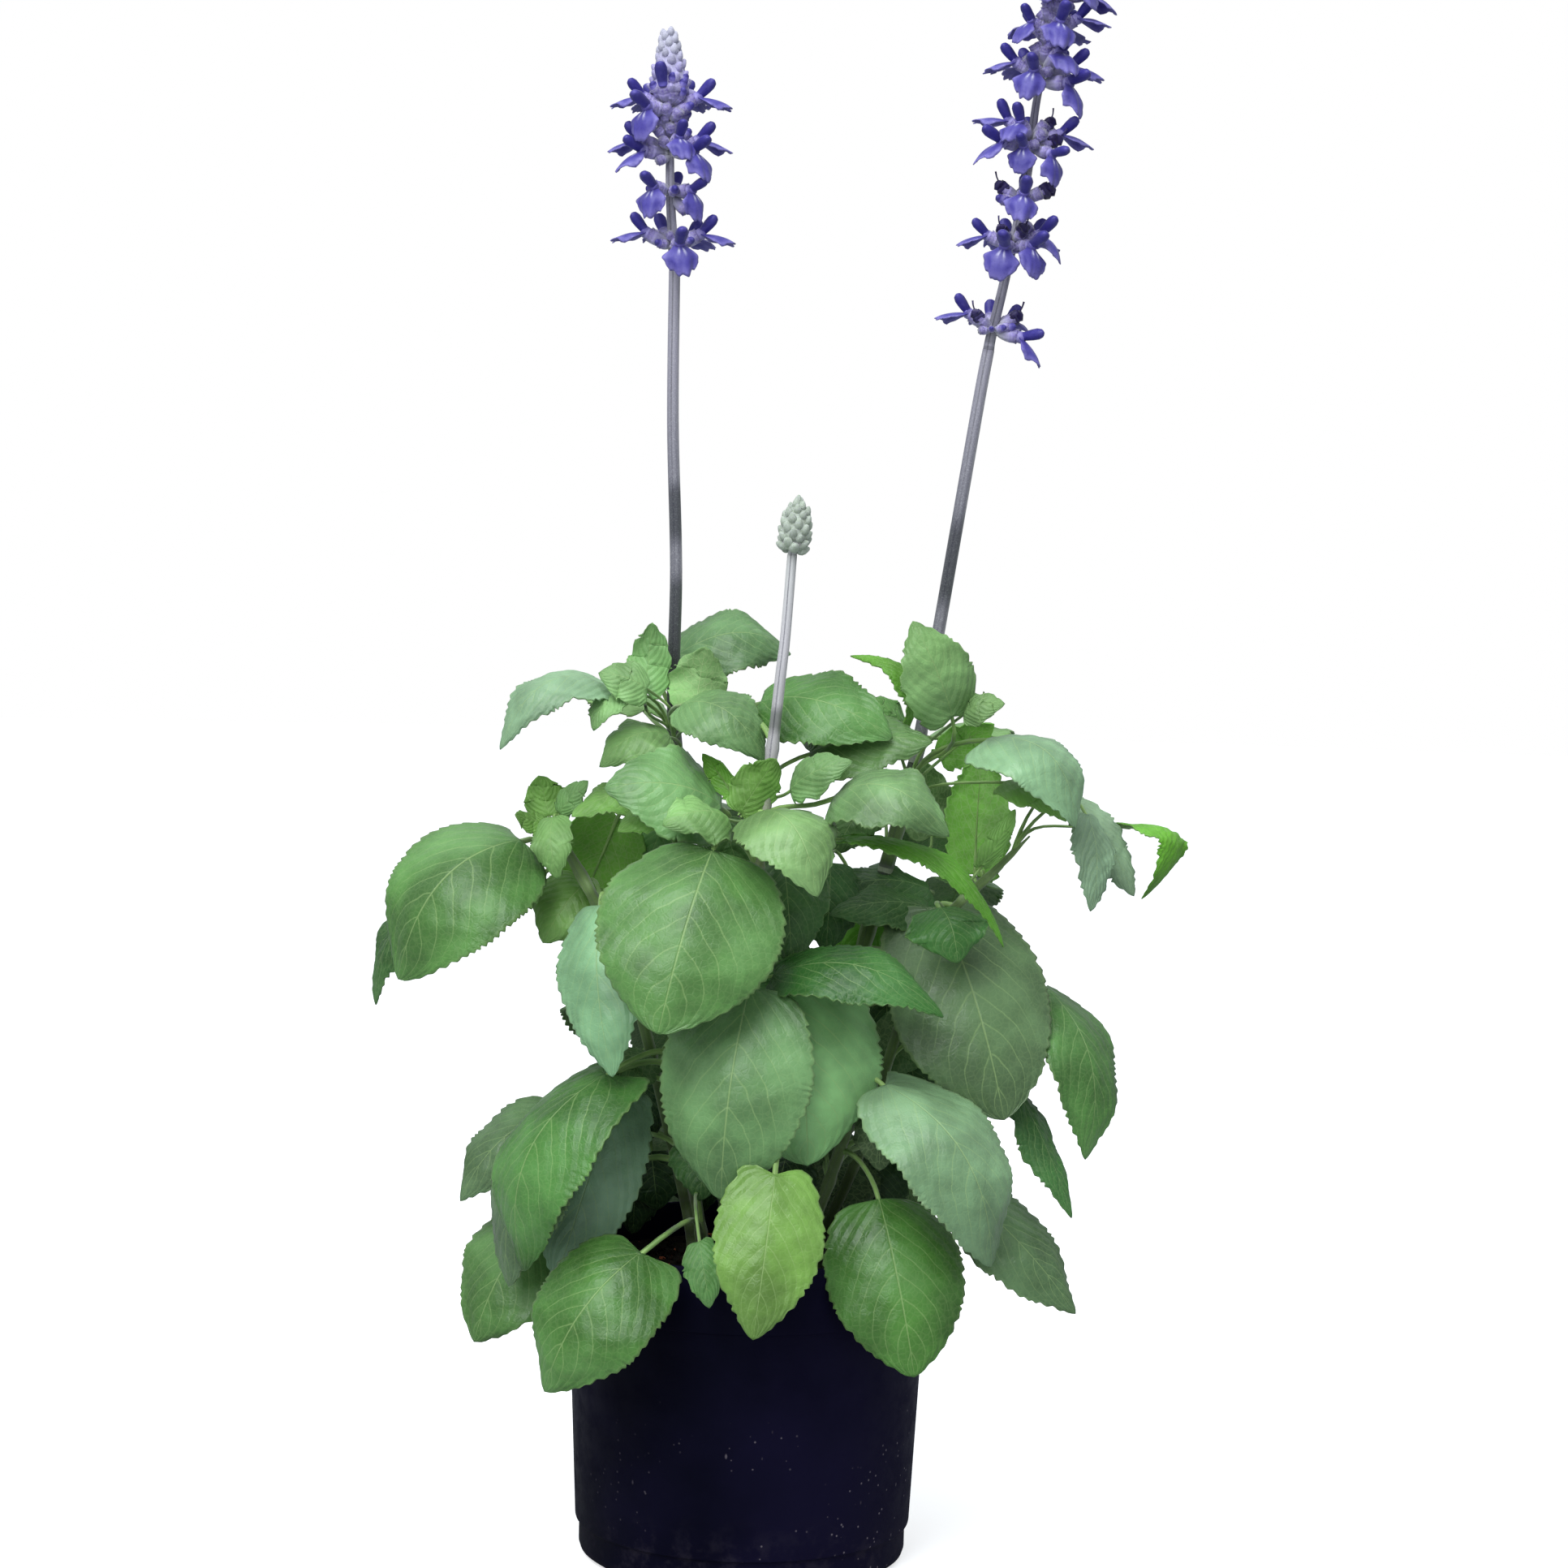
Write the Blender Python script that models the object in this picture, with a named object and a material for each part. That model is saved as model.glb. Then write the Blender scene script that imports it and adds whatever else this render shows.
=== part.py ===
"""Potted salvia: a mealycup sage in flower in a plain black nursery pot.

The pot stands on z = 0 with its axis on the z axis. The front of the plant looks along -y.
Lengths are in metres unless a name or a comment says millimetres.
"""

import math
import random

import bmesh
import bpy
from mathutils import Matrix, Vector

MM = 0.001
GAP = 0.3 * MM  # room between neighbouring pieces

POT_HEIGHT = 115 * MM
RIM_RADIUS = 64.8 * MM  # the band under the lip
RIM_BAND = 22 * MM  # height of that band
BODY_TOP_RADIUS = 64.0 * MM
BODY_FOOT_RADIUS = 60.3 * MM
FOOT_RADIUS = 58.8 * MM
FOOT_HEIGHT = 12 * MM
FOOT_ROUNDING = 3 * MM
WALL = 1.8 * MM
POT_SIDES = 28
DRAIN_HOLES = 6
DRAIN_RADIUS = 4 * MM
DRAIN_RING = 40 * MM

SOIL_TOP = 102 * MM
SOIL_RIPPLE = 1.0 * MM
SOIL_CRUMBS = 7
HOLE_BOTTOM = 85 * MM
STEM_FOOT = HOLE_BOTTOM + GAP

BLADE = 0.8 * MM  # thickness of a leaf
LEAF_STALK = 0.8 * MM  # half the thickness of a leaf's stalk, where the blade starts
LEAF_FOLD = math.radians(14)  # how far each half drops from the midrib
TOOTH = 1.3 * MM  # depth of a notch in the leaf's edge
TOOTH_LENGTH = 14 * MM
WIDEST = 0.4  # where a leaf is widest, as a share of its length

# Stems. foot: where it stands in the soil, x and y. path: points that it passes, x, y, z.
# radii: at the foot and at the top. leaves: height of the leaf's node on the stem, base and tip of
# the blade, width, rise of the arched midrib, then the way its upper face looks: turn round the z
# axis, 0 to the front and 90 to the right, and tilt, 90 straight up. Millimetres and degrees.
STEMS = {
    "left_flowering_stem": {
        "foot": (-8, 4),
        "path": [(-12, 6, 160), (-22, 6, 230), (-30.8, 2, 294), (-31.4, 0, 353), (-33.7, 0, 405),
                 (-34.3, 0, 458)],
        "radii": (2.5, 1.9),
        "leaves": [
            (290, (-55, -12, 312), (-90, -32, 289), 26, 14, -25, 50),
            (292, (-41, -12, 310), (-39, -10, 334), 17, -2, 0, 8),
            (289, (-40, -20, 311), (-57, -22, 316), 18, 3, -14, 32),
            (287, (-49, -17, 309), (-58, -26, 296), 15, 4, -29, 45),
            (296, (-29, 14, 321), (11, 26, 326), 27, 10, 4, 42),
            (290, (-23, -12, 305), (-20, -8, 326), 23, -2, 8, 18),
            (286, (-26, -18, 305), (-3, -27, 286), 24, 10, 10, 42),
            (281, (-32, -10, 292), (-54, -20, 282), 22, 7, -13, 42),
            (262, (-13, -29, 271), (-53, -44, 277), 41, 9, -9, 35),
            (258, (-35, -15, 275), (-65, -28, 266), 24, 4, -20, 55),
            (250, (-27, -26, 271), (-48, -42, 262), 22, 3, -15, 45),
            (242, (-51, 12, 263), (-68, 16, 219), 34, 4, 172, 22),
            (288, (-42, 15, 302), (-62, 56, 300), 30, 7, 200, 55),
            (262, (-24, 22, 268), (-14, 72, 250), 40, 8, 170, 50),
            (228, (-36, 24, 232), (-58, 82, 196), 48, 9, 195, 35),
        ],
    },
    "centre_budding_stem": {
        "foot": (4, -10),
        "path": [(4, -20, 160), (1, -34, 225), (0.7, -38, 256), (4.1, -38, 288), (6.8, -39, 318),
                 (8.1, -39, 332), (9.7, -40, 359)],
        "radii": (2.4, 1.6),
        "leaves": [
            (270, (-6, -42, 270), (6, -48, 289), 18, -2, 11, 10),
            (266, (-10, -47, 268), (-32, -60, 266), 25, 5, -15, 42),
            (264, (2, -47, 271), (21, -70, 244), 37, 12, 16, 38),
            (272, (11, -42, 278), (32, -52, 289), 18, 4, 8, 35),
            (266, (26, -48, 276), (65, -64, 265), 31, 13, 5, 48),
            (292, (0, -14, 305), (46, -34, 295), 34, 9, 5, 38),
            (274, (18, -20, 289), (59, -30, 294), 22, 4, 0, 55),
            (268, (-9, -28, 275), (-20, -27, 289), 10, 2, 170, 10),
            (250, (-15, -58, 256), (-31, -90, 199), 66, 10, 0, 30),
            (256, (31, -46, 262), (85, -56, 226), 16, 12, 18, 64),
            (250, (9, -26, 255), (13, -38, 217), 32, 4, 5, 15),
            (208, (7, -50, 215), (65, -60, 203), 30, 14, 5, 52),
            (208, (11, -46, 213), (20, -60, 151), 64, 9, 10, 28),
            (205, (-1, -60, 212), (-9, -74, 141), 54, 11, -10, 17),
            (172, (20, -37, 186), (20, -47, 148), 28, 4, 5, 18),
            (165, (9, -80, 151), (3, -98, 99), 39, 6, 2, 13),
        ],
    },
    "right_flowering_stem": {
        "foot": (14, 4),
        "path": [(24, 6, 165), (40, 5, 224), (46.2, 5, 248), (55.4, 4, 286), (63.4, 2, 339),
                 (74.2, 0, 413), (77.4, 0, 433)],
        "radii": (2.7, 2.0),
        "leaves": [
            (276, (69, -24, 305), (50, -30, 335), 22, 6, 4, 17),
            (276, (52, -8, 296), (31, -16, 323), 20, 15, 40, 32),
            (280, (52, 14, 298), (37, 8, 308), 14, 3, 0, 40),
            (276, (71, -22, 305), (85, -28, 309), 14, 3, 0, 30),
            (270, (80, -22, 297), (106, -36, 269), 35, 15, 34, 42),
            (266, (87, -12, 281), (108, -22, 268), 22, 5, 20, 60),
            (236, (62, 8, 240), (27, -2, 240), 26, 5, 0, 50),
            (230, (61, -8, 235), (26, -22, 233), 22, 5, 0, 45),
            (292, (68, 22, 296), (92, 58, 288), 30, 7, 150, 52),
            (266, (66, 26, 266), (74, 80, 240), 40, 8, 170, 42),
            (214, (48, 24, 216), (66, 84, 178), 46, 9, 165, 35),
            (262, (65, 12, 287), (84, 12, 300), 17, 3, 176, 18),
            (190, (58, 4, 194), (47, 0, 172), 24, 4, 5, 20),
        ],
    },
    "left_side_shoot": {
        "foot": (-20, -4),
        "path": [(-28, -12, 150), (-44, -18, 210), (-58, -18, 238), (-72, -15, 261)],
        "radii": (2.2, 1.7),
        "leaves": [
            (259, (-74, -12, 265), (-78, -12, 279), 16, -2, -5, 15),
            (259, (-70, -15, 266), (-60, -18, 278), 11, 2, 4, 33),
            (255, (-72, -20, 265), (-69, -28, 244), 17, 5, -21, 31),
            (257, (-75, -17, 263), (-85, -24, 266), 11, -1, -15, 35),
            (230, (-56, -38, 236), (-48, -62, 180), 34, 8, -22, 27),
            (244, (-84, -12, 253), (-121, -32, 208), 49, 12, -20, 31),
            (246, (-100, 4, 236), (-132, -4, 195), 34, 14, -50, 24),
            (232, (-61, -9, 241), (-75, -15, 220), 30, 4, -10, 20),
            (253, (-84, 14, 240), (-112, 54, 212), 40, 8, 225, 45),
            (200, (-52, 6, 204), (-84, 58, 168), 44, 9, 215, 35),
        ],
    },
    "right_side_shoot": {
        "foot": (26, -4),
        "path": [(40, -8, 150), (58, -14, 215), (70, -18, 236), (82, -18, 248), (96, -14, 262)],
        "radii": (2.2, 1.0),
        "leaves": [
            (244, (77, -12, 248), (80, 8, 292), 26, 3, 184, 15),
            (236, (65, -16, 236), (88, -40, 165), 60, 8, 12, 20),
            (256, (114, -14, 270), (116, -26, 237), 21, 5, 30, 14),
            (256, (118, -2, 270), (134, -8, 241), 18, 5, 15, 17),
            (256, (133, 5, 265), (131, -2, 242), 19, 17, 62, 14),
            (205, (104, -4, 207), (118, -24, 149), 29, 14, 42, 17),
            (180, (94, -20, 175), (115, -34, 130), 20, 2, 52, 15),
            (146, (37, -14, 152), (12, -24, 148), 20, 3, 0, 45),
            (246, (92, 2, 246), (128, 42, 218), 38, 8, 130, 42),
            (200, (66, 8, 204), (100, 58, 166), 44, 9, 145, 35),
            (240, (79, -24, 252), (90, -22, 272), 9, 2, 20, 10),
            (232, (64, -36, 238), (70, -46, 220), 32, 6, 5, 42),
        ],
    },
    "low_left_shoot": {
        "foot": (-16, -18),
        "path": [(-20, -26, 140), (-25, -31, 175), (-28, -32, 198)],
        "radii": (2.0, 1.7),
        "leaves": [
            (180, (-50, -50, 175), (-76, -60, 112), 44, 16, -48, 24),
            (176, (-57, -38, 171), (-82, -48, 104), 44, 14, -45, 28),
            (176, (-70, -10, 160), (-102, -20, 128), 31, 9, -30, 28),
            (140, (-71, -18, 120), (-95, -34, 81), 44, 6, -20, 24),
            (170, (-47, -31, 167), (-66, -46, 105), 38, 6, -1, 20),
            (110, (-34, -68, 120), (-63, -78, 74), 38, 9, -24, 17),
            (190, (-36, -24, 182), (-56, -34, 170), 22, 4, -10, 40),
            (118, (-16, -72, 126), (-12, -79, 105), 15, 3, 0, 15),
            (140, (-52, 4, 150), (-90, 46, 118), 38, 7, 235, 30),
            (150, (-16, -34, 155), (-17, -40, 134), 25, 4, 5, 18),
        ],
    },
    "low_right_shoot": {
        "foot": (20, -22),
        "path": [(28, -31, 140), (37, -40, 172), (40, -42, 188)],
        "radii": (2.0, 1.7),
        "leaves": [
            (150, (77, -30, 140), (117, -38, 101), 36, 5, 30, 26),
            (180, (45, -52, 174), (81, -67, 119), 37, 15, 33, 26),
            (150, (43, -50, 137), (56, -70, 81), 45, 7, 4, 13),
            (170, (45, -40, 168), (45, -45, 147), 20, 3, 0, 15),
            (140, (58, -2, 148), (94, 36, 114), 38, 7, 125, 30),
            (160, (51, -26, 167), (44, -32, 146), 22, 4, 0, 18),
        ],
    },
    "rear_shoot": {
        "foot": (2, 24),
        "path": [(2, 30, 135), (0, 38, 180), (0, 40, 220)],
        "radii": (2.2, 1.7),
        "leaves": [
            (200, (-14, 50, 200), (-38, 104, 158), 50, 9, 200, 32),
            (200, (18, 50, 194), (42, 104, 152), 48, 9, 160, 32),
            (166, (2, 58, 160), (4, 112, 122), 44, 8, 180, 30),
            (150, (-32, 50, 146), (-66, 86, 106), 40, 8, 215, 28),
            (150, (36, 50, 142), (68, 84, 102), 40, 8, 145, 28),
            (128, (-14, 72, 124), (-22, 94, 78), 34, 6, 190, 18),
            (216, (-6, 40, 226), (-20, 60, 236), 18, 3, 200, 50),
            (216, (8, 40, 226), (24, 58, 234), 16, 3, 160, 50),
        ],
    },
}

# Flower spikes. path: the axis, from the seat on the stalk to the tip. florets: height on the axis,
# the way it points round the z axis, 0 to the right and 90 to the back, its pitch over level, and
# its size against a full one. cone: bottom, top and half the width of the cone of buds.
# Millimetres and degrees.
SPIKES = {
    "left_flower_spike": {
        "path": [(-34.3, 0, 458), (-35.1, 0, 468), (-36.4, 0, 485), (-36.9, 0, 502), (-37.3, 0, 519),
                 (-38.2, 0, 543)],
        "radii": (1.9, 1.1),
        "florets": [
            (467, 180, 21, 1.0), (467, 2, 19, 1.0), (466, 284, 0, 1.0), (468, 112, 23, 0.95),
            (467, 50, 18, 0.95),
            (486, 238, -2, 0.95), (486, 322, -6, 0.9), (485, 78, 18, 0.85),
            (500, 180, 15, 1.0), (499, 208, -3, 1.0), (500, 0, 17, 1.0), (499, 322, -2, 1.0),
            (501, 294, 16, 0.85), (501, 85, 18, 1.0),
            (515, 183, 17, 0.95), (514, 228, -4, 1.05), (515, 0, 17, 1.0), (516, 60, 19, 0.95),
            (515, 130, 18, 0.9),
        ],
        "cone": (521, 543, 6.0),
    },
    "right_flower_spike": {
        "path": [(77.4, 0, 433), (78.4, 0, 439), (82.7, 0, 459), (89.4, 0, 495), (91.8, 0, 520),
                 (97.5, 0, 552), (101, 0, 583)],
        "radii": (2.0, 1.1),
        "florets": [
            (441, 180, 23, 0.95), (441, 100, 21, 0.95), (440, 345, -19, 1.0), (441, 50, 18, 0.85),
            (470, 180, 15, 0.9), (469, 254, -6, 1.05), (469, 306, -4, 1.0), (470, 342, 17, 1.0),
            (470, 105, 18, 1.0), (470, 45, 18, 1.0),
            (485, 268, 8, 0.95), (486, 90, 23, 0.9),
            (507, 176, 33, 1.0), (505, 200, -1, 1.05), (507, 234, 28, 0.9), (504, 250, -6, 0.85),
            (504, 318, -22, 0.9), (506, 0, 13, 1.0), (506, 95, 18, 1.0),
            (530, 182, 18, 0.95), (529, 250, 2, 0.95), (530, 4, 13, 1.0), (532, 300, 24, 1.0),
            (527, 328, -9, 1.05), (530, 120, 18, 1.0), (530, 60, 18, 1.0),
            (544, 212, 18, 0.85), (544, 280, 13, 1.0), (545, 350, 23, 0.95), (544, 60, 18, 1.0),
            (544, 130, 18, 0.95),
            (558, 185, 13, 1.0), (558, 318, 13, 0.95), (557, 5, 3, 1.0), (558, 250, 18, 0.9),
            (558, 85, 18, 1.0),
        ],
        "cone": (562, 583, 5.2),
    },
    "centre_flower_bud": {
        "path": [(9.7, -40, 359), (10.6, -40, 368), (11.4, -40, 378)],
        "radii": (1.5, 0.8),
        "florets": [],
        "cone": (363.5, 379, 5.2),
    },
}

# Parts of a full floret, millimetres: how far out each ends, then its half width or its height
FLORET = {"root": 0.6, "calyx": 9.0, "mouth": 1.9, "hood": (18.0, 4.5), "lip": (21.0, 5.5)}
LIP_DROP = -6.5
LIP_THICKNESS = 1.1
BUD_LENGTH = 5.5
BUD_RADIUS = 2.3
BUD_ROW = 5.2  # height of a row of buds

MATERIALS = {
    "pot_plastic": ((0.006, 0.006, 0.018, 1), 0.42),
    "potting_soil": ((0.012, 0.007, 0.004, 1), 0.95),
    "leaf_green": ((0.085, 0.24, 0.055, 1), 0.5),
    "floret_violet": ((0.07, 0.04, 0.42, 1), 0.6),
    "bud_grey": ((0.42, 0.46, 0.36, 1), 0.75),
}


def clear_scene():
    for obj in list(bpy.data.objects):
        bpy.data.objects.remove(obj, do_unlink=True)


def make_material(name):
    colour, roughness = MATERIALS[name]
    material = bpy.data.materials.new(name)
    material.use_nodes = True
    shader = material.node_tree.nodes["Principled BSDF"]
    shader.inputs["Base Color"].default_value = colour
    shader.inputs["Roughness"].default_value = roughness
    shader.inputs["Metallic"].default_value = 0.0
    return material


def add_object(name, bm, material=None):
    """Turns a bmesh into an object of the scene, its faces pointing out."""
    bmesh.ops.remove_doubles(bm, verts=bm.verts[:], dist=1e-7)
    bmesh.ops.recalc_face_normals(bm, faces=bm.faces[:])
    mesh = bpy.data.meshes.new(name)
    bm.to_mesh(mesh)
    bm.free()
    obj = bpy.data.objects.new(name, mesh)
    bpy.context.scene.collection.objects.link(obj)
    if material:
        mesh.materials.append(material)
    return obj


def shade(obj, angle=40):
    obj.data.shade_smooth()
    obj.data.set_sharp_from_angle(angle=math.radians(angle))


def apply_modifiers(obj):
    """Keeps what the modifiers make, and drops them."""
    graph = bpy.context.evaluated_depsgraph_get()
    mesh = bpy.data.meshes.new_from_object(obj.evaluated_get(graph))
    obj.modifiers.clear()
    obj.data = mesh


def combine(target, pieces, operation):
    """One Boolean of all the pieces with the target. The pieces go away."""
    group = bpy.data.collections.new(target.name + "_pieces")
    bpy.context.scene.collection.children.link(group)
    for piece in pieces:
        bpy.context.scene.collection.objects.unlink(piece)
        group.objects.link(piece)
    boolean = target.modifiers.new("Pieces", "BOOLEAN")
    boolean.operation = operation
    boolean.operand_type = "COLLECTION"
    boolean.collection = group
    boolean.solver = "EXACT"
    apply_modifiers(target)
    for piece in pieces:
        bpy.data.objects.remove(piece, do_unlink=True)
    bpy.data.collections.remove(group)


def smooth_path(points, steps):
    """A curve through the points, with this many steps between neighbours."""
    path = []
    for i in range(len(points) - 1):
        before, start = points[max(i - 1, 0)], points[i]
        end, after = points[i + 1], points[min(i + 2, len(points) - 1)]
        for k in range(steps):
            t = k / steps
            path.append(0.5 * (2 * start + (end - before) * t
                               + (2 * before - 5 * start + 4 * end - after) * t ** 2
                               + (3 * start - before - 3 * end + after) * t ** 3))
    return path + [points[-1]]


def tube(name, path, first_radius, last_radius, resolution):
    """A round bar along a path, as a mesh object. Resolution 0 has four sides, 1 has six."""
    curve = bpy.data.curves.new(name, "CURVE")
    curve.dimensions = "3D"
    curve.bevel_depth = 1.0
    curve.bevel_resolution = resolution
    curve.use_fill_caps = True
    spline = curve.splines.new("POLY")
    spline.points.add(len(path) - 1)
    for i, place in enumerate(path):
        spline.points[i].co = (*place, 1)
        spline.points[i].radius = first_radius + (last_radius - first_radius) * i / (len(path) - 1)
    holder = bpy.data.objects.new(name, curve)
    bpy.context.scene.collection.objects.link(holder)
    graph = bpy.context.evaluated_depsgraph_get()
    bm = bmesh.new()
    bm.from_mesh(bpy.data.meshes.new_from_object(holder.evaluated_get(graph)))
    bpy.data.objects.remove(holder, do_unlink=True)
    return add_object(name, bm)


def turned(profile, sides):
    """A bmesh turned round the z axis from a profile of radius and height."""
    bm = bmesh.new()
    points = [bm.verts.new((radius, 0, height)) for radius, height in profile]
    edges = [bm.edges.new(pair) for pair in zip(points, points[1:])]
    bmesh.ops.spin(bm, geom=points + edges, axis=(0, 0, 1), cent=(0, 0, 0),
                   steps=sides, angle=math.tau, use_merge=True)
    bmesh.ops.remove_doubles(bm, verts=bm.verts[:], dist=1e-6)
    return bm


def cylinder(name, place, bottom, top, radius, sides):
    bm = bmesh.new()
    bmesh.ops.create_cone(bm, cap_ends=True, segments=sides, radius1=radius, radius2=radius,
                          depth=top - bottom)
    bmesh.ops.translate(bm, verts=bm.verts[:], vec=(place[0], place[1], (top + bottom) / 2))
    return add_object(name, bm)


def inner_radius(height):
    """Radius of the pot's inside at a height over its floor."""
    rise = (height - FOOT_HEIGHT) / (POT_HEIGHT - RIM_BAND - FOOT_HEIGHT)
    return BODY_FOOT_RADIUS + (BODY_TOP_RADIUS - BODY_FOOT_RADIUS) * min(max(rise, 0), 1) - WALL


def build_pot(material):
    band = POT_HEIGHT - RIM_BAND
    corner = FOOT_RADIUS - FOOT_ROUNDING
    rounding = [(corner + FOOT_ROUNDING * math.sin(a), FOOT_ROUNDING * (1 - math.cos(a)))
                for a in (0, math.radians(45), math.radians(90))]
    outside = [(0, 0)] + rounding + [
        (FOOT_RADIUS, FOOT_HEIGHT), (BODY_FOOT_RADIUS, FOOT_HEIGHT + 1 * MM),
        (BODY_TOP_RADIUS, band - 1 * MM), (RIM_RADIUS, band),
        (RIM_RADIUS, POT_HEIGHT - 1 * MM), (RIM_RADIUS - 0.8 * MM, POT_HEIGHT)]
    inside = [(inner_radius(POT_HEIGHT), POT_HEIGHT), (inner_radius(band), band),
              (inner_radius(FOOT_HEIGHT), FOOT_HEIGHT),
              (FOOT_RADIUS - FOOT_ROUNDING, WALL), (0, WALL)]
    pot = add_object("nursery_pot", turned(outside + inside, POT_SIDES), material)
    for i in range(DRAIN_HOLES):
        turn = math.tau * (i + 0.36) / DRAIN_HOLES
        place = (DRAIN_RING * math.cos(turn), DRAIN_RING * math.sin(turn))
        cutter = cylinder(f"drain_cutter_{i}", place, -2 * MM, 4 * MM, DRAIN_RADIUS, 8)
        cutter.hide_render = True
        cutter.display_type = "WIRE"
        hole = pot.modifiers.new(f"Drain hole {i}", "BOOLEAN")
        hole.operation = "DIFFERENCE"
        hole.object = cutter
    shade(pot)


def build_soil(material):
    """A plug that fills the pot, with a crumbly top and a plain hole for each stem."""
    draw = random.Random(11)
    rings = [0.3, 0.6, 0.85]
    rim = inner_radius(SOIL_TOP) - GAP
    profile = [(0, WALL + GAP), (FOOT_RADIUS - FOOT_ROUNDING - 2 * GAP, WALL + GAP),
               (inner_radius(FOOT_HEIGHT) - GAP, FOOT_HEIGHT + GAP), (rim, SOIL_TOP)]
    profile += [(rim * share, SOIL_TOP + 1 * MM) for share in reversed(rings)]
    profile.append((0, SOIL_TOP + 1.5 * MM))
    bm = turned(profile, POT_SIDES)
    for vert in bm.verts:
        if vert.co.z > SOIL_TOP + 0.5 * MM:
            vert.co.z += draw.uniform(-SOIL_RIPPLE, SOIL_RIPPLE)
    bmesh.ops.triangulate(bm, faces=bm.faces[:])
    soil = add_object("potting_soil", bm, material)
    crumbs = []
    for i in range(SOIL_CRUMBS):
        turn, out = draw.uniform(0, math.tau), 58 * MM * math.sqrt(draw.uniform(0.25, 0.95))
        size = draw.uniform(2.0, 3.6) * MM
        bm = bmesh.new()
        bmesh.ops.create_icosphere(bm, subdivisions=1, radius=size)
        bmesh.ops.transform(bm, verts=bm.verts[:], matrix=Matrix.LocRotScale(
            (out * math.cos(turn), out * math.sin(turn), SOIL_TOP + 1 * MM),
            Matrix.Rotation(turn, 3, "X"), (1, 0.8, 0.7)))
        crumbs.append(add_object(f"crumb_{i}", bm))
    combine(soil, crumbs, "UNION")
    holes = []
    for name, stem in STEMS.items():
        place = [value * MM for value in stem["foot"]]
        radius = (stem["radii"][0] * MM + GAP) / math.cos(math.pi / 8)
        holes.append(cylinder(name + "_hole", place, HOLE_BOTTOM, SOIL_TOP + 9 * MM, radius, 8))
    combine(soil, holes, "DIFFERENCE")
    shade(soil, 25)


def leaf_frame(base, tip, rise, turn, tilt):
    """The way across a leaf and the control point of its arched midrib."""
    turn, tilt = math.radians(turn), math.radians(tilt)
    face = Vector((math.sin(turn) * math.cos(tilt), -math.cos(turn) * math.cos(tilt), math.sin(tilt)))
    chord = (tip - base).normalized()
    face = (face - chord * face.dot(chord)).normalized()
    return face, chord.cross(face), (base + tip) / 2 + 2 * rise * face


def midrib(base, control, tip, t):
    """Place and direction on the midrib, t from 0 at the base to 1 at the tip."""
    place = (1 - t) ** 2 * base + 2 * t * (1 - t) * control + t ** 2 * tip
    along = ((1 - t) * (control - base) + t * (tip - control)).normalized()
    return place, along


def half_width(t, width):
    """A broad oval with a round base, widest at two fifths of its length, and a blunt tip."""
    if t < WIDEST:
        return width / 2 * (1 - (1 - t / WIDEST) ** 2.3) ** 0.55
    return width / 2 * (1 - ((t - WIDEST) / (1 - WIDEST)) ** 1.9) ** 0.78


def leaf(name, start, base, tip, width, rise, turn, tilt):
    """A toothed leaf as one closed shape: its stalk from inside the stem, then the folded blade."""
    face, across, control = leaf_frame(base, tip, rise, turn, tilt)
    length = (control - base).length + (tip - control).length
    teeth = min(max(round(length / TOOTH_LENGTH), 3), 6)
    bm = bmesh.new()

    def two_sided(t, side, reach):
        place, along = midrib(base, control, tip, t)
        normal = across.cross(along)
        if normal.dot(face) < 0:
            normal.negate()
        middle = place + reach * (across * side * math.cos(LEAF_FOLD) - normal * math.sin(LEAF_FOLD))
        return bm.verts.new(middle + normal * BLADE / 2), bm.verts.new(middle - normal * BLADE / 2)

    into = (control - base).normalized()
    normal = across.cross(into)
    if normal.dot(face) < 0:
        normal.negate()
    stalk = stalk_points(start, base, into)
    rings = []
    for i, place in enumerate(stalk):
        behind = (place - stalk[i - 1]).normalized() if i else Vector((0, 0, 0))
        ahead = (stalk[i + 1] - place).normalized() if i < 2 else into
        turned_by = into.rotation_difference(behind + ahead)
        size = LEAF_STALK * (1.3 - 0.15 * i)
        rings.append(ring_of(bm, place, (turned_by @ across) * size, (turned_by @ normal) * size))
    for near, far in zip(rings, rings[1:]):
        for i in range(4):
            add_face(bm, [near[i], near[(i + 1) % 4], far[(i + 1) % 4], far[i]])
    add_face(bm, rings[0])
    top, right, bottom, left = rings[-1]
    rib = [(top, bottom)] + [two_sided((i + 1) / teeth, 1, 0) for i in range(teeth)]
    for side, corner in ((-1, left), (1, right)):
        edge = [(corner, corner)]
        for i in range(teeth):
            peak = (i + 0.72) / teeth
            edge.append(two_sided(peak, side, half_width(peak, width)))
            if i < teeth - 1:
                notch = (i + 1) / teeth
                edge.append(two_sided(notch, side, half_width(notch, width) - TOOTH))
        edge.append(rib[-1])
        for i in range(teeth):
            low, peak, high = edge[2 * i], edge[2 * i + 1], edge[2 * i + 2]
            for corners in ((rib[i], low, peak), (rib[i], peak, rib[i + 1]), (rib[i + 1], peak, high)):
                for level in (0, 1):
                    add_face(bm, [pair[level] for pair in corners])
        for first, second in zip(edge, edge[1:]):
            add_face(bm, [first[0], second[0], second[1]])
            add_face(bm, [first[0], second[1], first[1]])
    bmesh.ops.triangulate(bm, faces=bm.faces[:])
    return add_object(name, bm)


def stalk_points(start, base, into):
    """Where a leaf's stalk starts, its middle and its end, which comes in along the blade."""
    reach = (base - start).length
    leave = start + Vector((0, 0, 0.3 * reach)) + (base - start) * 0.15
    arrive = base - into * 0.6 * reach
    return [start, (start + 3 * leave + 3 * arrive + base) / 8, base]


def ring_of(bm, centre, across, up):
    """Four corners of a leaf stalk: over it, right, under and left."""
    return [bm.verts.new(centre + offset) for offset in (up, across, -up, -across)]


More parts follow.
